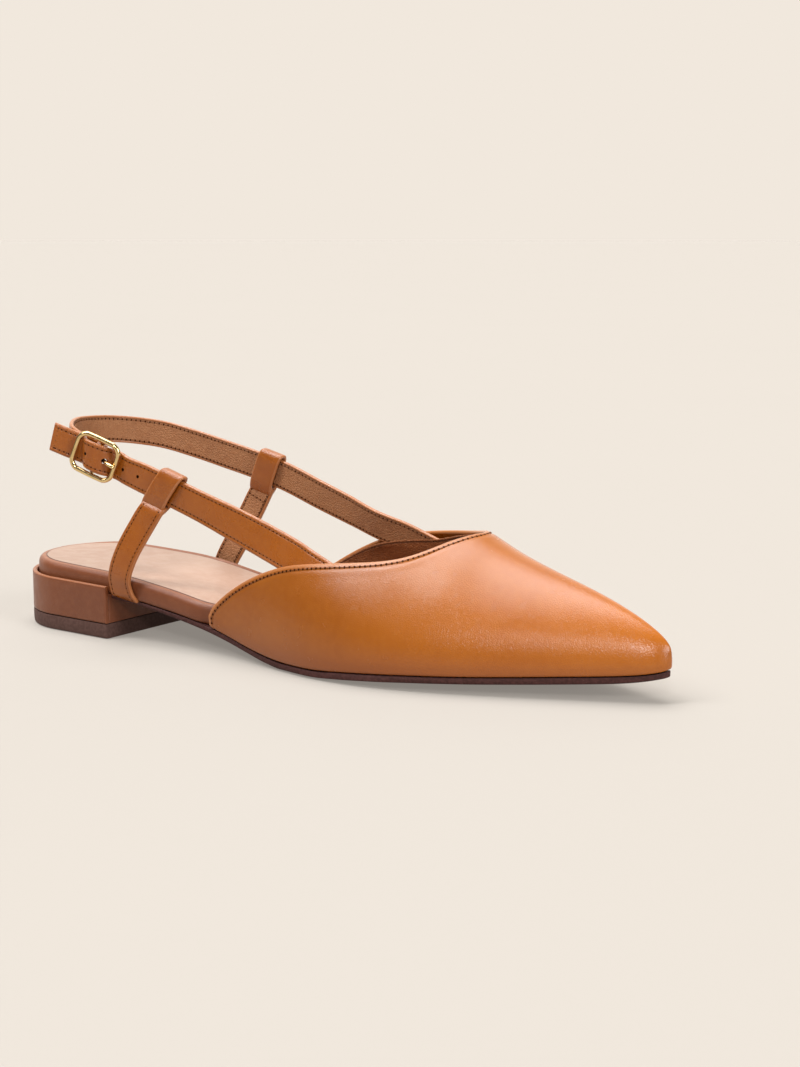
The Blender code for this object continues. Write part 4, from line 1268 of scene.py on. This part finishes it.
def make_outsole():
    to_tip = LENGTH - np.linspace(math.sqrt(LENGTH - TOE_ROWS), 0.0, 26)[1:] ** 2
    station = np.concatenate([np.linspace(HEEL_BREAST + GAP, TOE_ROWS, 110), to_tip])
    bottom, top = read(SOLE, "bottom", station), read(SOLE, "top", station)
    edges = feather(station, SOLE_INSET)
    middle = (edges[0] + edges[1]) / 2
    rows = [(share, bottom + lift) for share, lift in SOLE_EDGE]
    layers = [
        with_height([middle + (edge - middle) * share for edge in edges], [height] * 2)
        for share, height in [*rows, (1.0, top - 0.25), (0.992, top)]
    ]
    add_mesh("outsole_shape", layered(layers), OUTSOLE, "outsole", sharp=50)


def footbed_edges(inset):
    """Footbed outline: round back, the feather edge in the waist, inside the upper in front."""
    radius = FOOTBED_RADIUS - inset
    back = round_back(radius, 1.35, 40)
    seat = np.array([[at, radius + 0.1] for at in (34.0, 39.0, 44.0)])
    station = np.concatenate([np.linspace(54.0, TOE_ROWS, 120), [241.0, 245.5, 249.2, 251.5]])
    inside = smoothstep((station - 95.0) / 4.0) * (UPPER_WALL + 2.6)
    sides = feather(station, 0.3 + inside + inset)
    return [
        np.concatenate([back * (1.0, sign), seat * (1.0, sign), side[station < 247.0]])
        for side, sign in zip(sides, (-1.0, 1.0))
    ]


def add_footbed_piece(name, table, bead, finish):
    layers, marks = [], []
    for inset, share, lift, mark in table[1:]:
        edges = footbed_edges(inset)
        heights = []
        for side, edge in enumerate(edges):
            at = edge[:, 0]
            roll = side * bead * bell(inset, BEAD_INSET, BEAD_WIDTH) * smoothstep(at / 20.0)
            thickness = share * read(FOOTBED, "thickness", at)
            heights.append(soften(seat_height(at) + GAP + thickness + lift + roll, 4.0))
        layers.append(with_height([soften(edge, 2.0) for edge in edges], heights))
        marks.append(np.full(2 * len(edges[0]), mark))
    marks = {"rim": np.concatenate(marks)}
    add_mesh(name, layered(layers), finish, "footbed", marks, 60)


def heel_edges(inset):
    """D-shaped outline of the heel: round back, nearly straight sides, flat front."""
    radius, corner = HEEL_RADIUS - inset, HEEL_HALF_WIDTH - inset
    front = HEEL_BREAST - inset * 0.2 - BREAST_CORNER
    side = [
        (HEEL_RADIUS + at, radius + (corner - radius) * at / 25.0)
        for at in (5.0, 10.0, 15.0, 20.0)
    ]
    for turn in np.linspace(0.0, math.pi / 2, 7):
        across = corner - BREAST_CORNER + BREAST_CORNER * math.cos(turn)
        side.append((front + BREAST_CORNER * math.sin(turn), across))
    medial = np.concatenate([round_back(radius, math.pi / 2, 44), side])
    return [medial * (1.0, -1.0), medial]


def heel_wall(inset):
    """The wall's run from the middle of the back to the breast, moved inwards by inset."""
    at_breast = HEEL_BREAST - np.array([0.45, 0.25, 0.12, 0.04, 0.0])
    station = np.concatenate([np.linspace(32.0, 52.0, 6), at_breast])
    spread = (station - HEEL_RADIUS) / (HEEL_BREAST - HEEL_RADIUS)
    radius = HEEL_RADIUS - inset
    side = np.stack([station, radius + (HEEL_HALF_WIDTH - HEEL_RADIUS) * spread], axis=1)
    return np.concatenate([round_back(radius, math.pi / 2, 44), side])


def make_heel():
    layers = []
    for height, inset in LIFT_LAYERS:
        edges = heel_edges(inset)
        layers.append(with_height(edges, [np.full(len(edges[0]), height)] * 2))
    add_mesh("top_lift_shape", layered(layers), TOP_LIFT, "top_lift", sharp=40)
    low, half = TOP_LIFT_HEIGHT + GAP, HEEL_RIM_WALL / 2
    rings, marks = [], []
    for k, station in enumerate(heel_wall(0.0)[:, 0]):
        top = HEEL_RIM_BACK + (HEEL_RIM_FRONT - HEEL_RIM_BACK) * station / HEEL_BREAST
        floor = SEAT_BACK + SEAT_SLOPE * station
        shape = [(0.35, low, 0.0), (0.08, low + 0.2, 0.0), (0.0, low + 0.6, 0.0)]
        shape.append((0.0, top - 2.4, 0.0))
        # The round top is marked with a painted highlight along its crest.
        for turn in np.linspace(0.0, math.pi, 11):
            height = top - RIM_RISE + RIM_RISE * math.sin(turn)
            shape.append((half - half * math.cos(turn), height, RIM_HIGHLIGHT * (0.25 < turn < 2.6)))
        shape += [(HEEL_RIM_WALL, floor - 1.0, 0.0), (HEEL_RIM_WALL, low, 0.0)]
        corner = max(0.0, WALL_CORNER - (HEEL_BREAST - station))
        corner = WALL_CORNER - math.sqrt(max(WALL_CORNER**2 - corner**2, 0.0))
        ring = []
        for inset, height, mark in shape:
            limit = top - corner * (height > top - 1)
            ring.append((*heel_wall(max(inset, corner))[k], min(height, limit)))
            marks.append(mark)
        rings.append(ring)
    walls = [swept(np.array(rings) * (1.0, side, 1.0)) for side in (-1.0, 1.0)]
    inside = heel_edges(HEEL_RIM_WALL - 0.02)
    for edge in inside:
        edge[-11:, 0] = np.minimum(edge[-11:, 0] + HEEL_RIM_WALL * 0.2, HEEL_BREAST)
    bottom = np.full(len(inside[0]), low + 0.02)
    seat = [SEAT_BACK + SEAT_SLOPE * edge[:, 0] for edge in inside]
    body = layered([with_height(inside, [bottom] * 2), with_height(inside, seat)])
    marks = np.array((marks + [0.0, 0.0]) * 2 + [0.0] * len(body[0]))
    shape = merged([*walls, body])
    add_mesh("heel_cover", shape, HEEL_TAN, "heel_block", {"rim": marks}, 50)


# ---- the shoe

make_heel()
make_outsole()
add_footbed_piece("footbed_wrap", WRAP, BEAD, HEEL_TAN)
add_footbed_piece("sock", SOCK_LAYERS, 0.0, SOCK)
straps = [make_sling_strap(), make_back_strap()]
make_heel_strap("lateral_heel_strap", LATERAL_HEEL_STRAP, -1.0)
make_heel_strap("medial_heel_strap", MEDIAL_HEEL_STRAP, 1.0)
make_buckle()
make_upper(Upper(), straps)

# ---- studio

AZIMUTH, ELEVATION = 35.0, 9.2   # of the camera: azimuth 0 is the lateral side, 90 the toe
CAMERA_PLACE = 131.0, 28.8, 705.7   # to its right, up and back from the heel's back
LENS = 62.42
CREAM = srgb(241, 232, 221)
# Soft suns round the shoe.
SUNS = (
    ("azimuth", "elevation", "strength", "angular size"),
    (-136.0, 76.0, 2.0, 42.0),
    (-84.0, 72.0, 1.5, 50.0),
    (-29.0, 66.0, 1.0, 12.0),
    (-40.0, 48.0, 1.3, 22.0),
    (28.0, 31.0, 0.95, 7.0),
    (85.0, 24.0, 2.0, 26.0),
)
ROOM, BACKLIGHT = 0.15, 1.6     # light from round the set and from its backdrop, over cream
BACKDROP = 0.35, 0.85           # how squarely a way faces it, where its light starts and is full
FLOOR_GLOW = 0.27
FLOOR_RINGS = 0.3, 1.0, 4.0, 12.0, 40.0   # metres, as are the next two
FLOOR_CENTRE, FLOOR_LEVEL = 0.1, -0.0001


def towards(azimuth, elevation):
    a, e = math.radians(azimuth), math.radians(elevation)
    return Vector((math.sin(a) * math.cos(e), -math.cos(a) * math.cos(e), math.sin(e)))


def add_facing(name, data, place, way):
    """A camera or light at a place, looking back along the way."""
    made = add_object(name, data)
    made.location = place
    made.rotation_mode = "QUATERNION"
    made.rotation_quaternion = (-way).to_track_quat("-Z", "Y")
    return made


def make_camera():
    right, behind = towards(AZIMUTH + 90.0, 0.0), towards(AZIMUTH, ELEVATION)
    up = behind.cross(right)
    data = bpy.data.cameras.new("camera")
    data.lens = LENS
    data.clip_start, data.clip_end = 0.01, 100.0
    over, above, back = CAMERA_PLACE
    place = over * right + above * up + back * behind - Vector((HEEL_RADIUS, 0.0, 0.0))
    bpy.context.scene.camera = add_facing("camera", data, place * MM, behind)


def floor_light():
    """What the suns and the room together give the floor, over full cream."""
    suns = sum(power / math.pi * math.sin(math.radians(up)) for _, up, power, _ in SUNS[1:])
    height = (np.arange(200) + 0.5)[:, None] / 200
    behind = np.sqrt(1 - height**2) * np.cos(full_turn(360))
    share = smoothstep((behind - BACKDROP[0]) / (BACKDROP[1] - BACKDROP[0]))
    room = float((2 * height * (ROOM + (BACKLIGHT - ROOM) * share)).mean())
    return [suns + c * room for c in CREAM[:3]]


def make_floor():
    """A wide plain disc that shows the same cream as the world round it."""
    sides = full_turn(96)
    points = [
        (FLOOR_CENTRE + r * math.cos(a), r * math.sin(a), FLOOR_LEVEL)
        for r in FLOOR_RINGS for a in sides
    ]
    points.append((FLOOR_CENTRE, 0.0, FLOOR_LEVEL))
    faces = tube_faces(len(FLOOR_RINGS), 96)
    faces += [((j + 1) % 96, j, len(points) - 1) for j in range(96)]
    mesh = bpy.data.meshes.new("floor")
    mesh.from_pydata(points, [], faces)
    look = Look(bpy.data.materials.new("floor"))
    own = [c * (1 - FLOOR_GLOW) / light for c, light in zip(CREAM, floor_light())]
    clouds = look.ramp(look.noise(0.004, 2.0), 0.3, 0.7)
    mesh.materials.append(look.surface({
        "Base Color": look.blend(clouds, tinted(own, 1.0), tinted(own, 0.995)),
        "Roughness": 1.0,
        "Specular IOR Level": 0.0,
        "Emission Color": CREAM,
        "Emission Strength": FLOOR_GLOW,
    }))
    floor = add_object("floor", mesh)


def make_suns():
    for k, (azimuth, elevation, strength, spread) in enumerate(SUNS[1:]):
        data = bpy.data.lights.new("sun_%d" % k, "SUN")
        data.energy = strength
        data.angle = math.radians(spread)
        way = towards(azimuth, elevation)
        add_facing("sun_%d" % k, data, Vector((FLOOR_CENTRE, 0.0, 0.0)) + way, way)


def make_world():
    """A cream backdrop, which lights the shoe from behind, in a dimmer room."""
    look = Look(bpy.data.worlds.new("world"), "Generated")
    facing = {0: look.where, 1: tuple(towards(AZIMUTH + 180.0, 0.0))}
    behind = look.node("VectorMath", facing, operation="DOT_PRODUCT")["Value"]
    share = look.ramp(behind, *BACKDROP)
    light = look.blend(share, tinted(CREAM, ROOM), tinted(CREAM, BACKLIGHT))
    colour = look.blend(look.node("LightPath")["Is Camera Ray"], light, CREAM)
    look.put(look.nodes["Background"], {"Color": colour, "Strength": 1.0})
    bpy.context.scene.world = look.owner
    bpy.context.scene.view_settings.view_transform = "Standard"
    bpy.context.scene.view_settings.look = "None"


make_camera()
make_floor()
make_suns()
make_world()
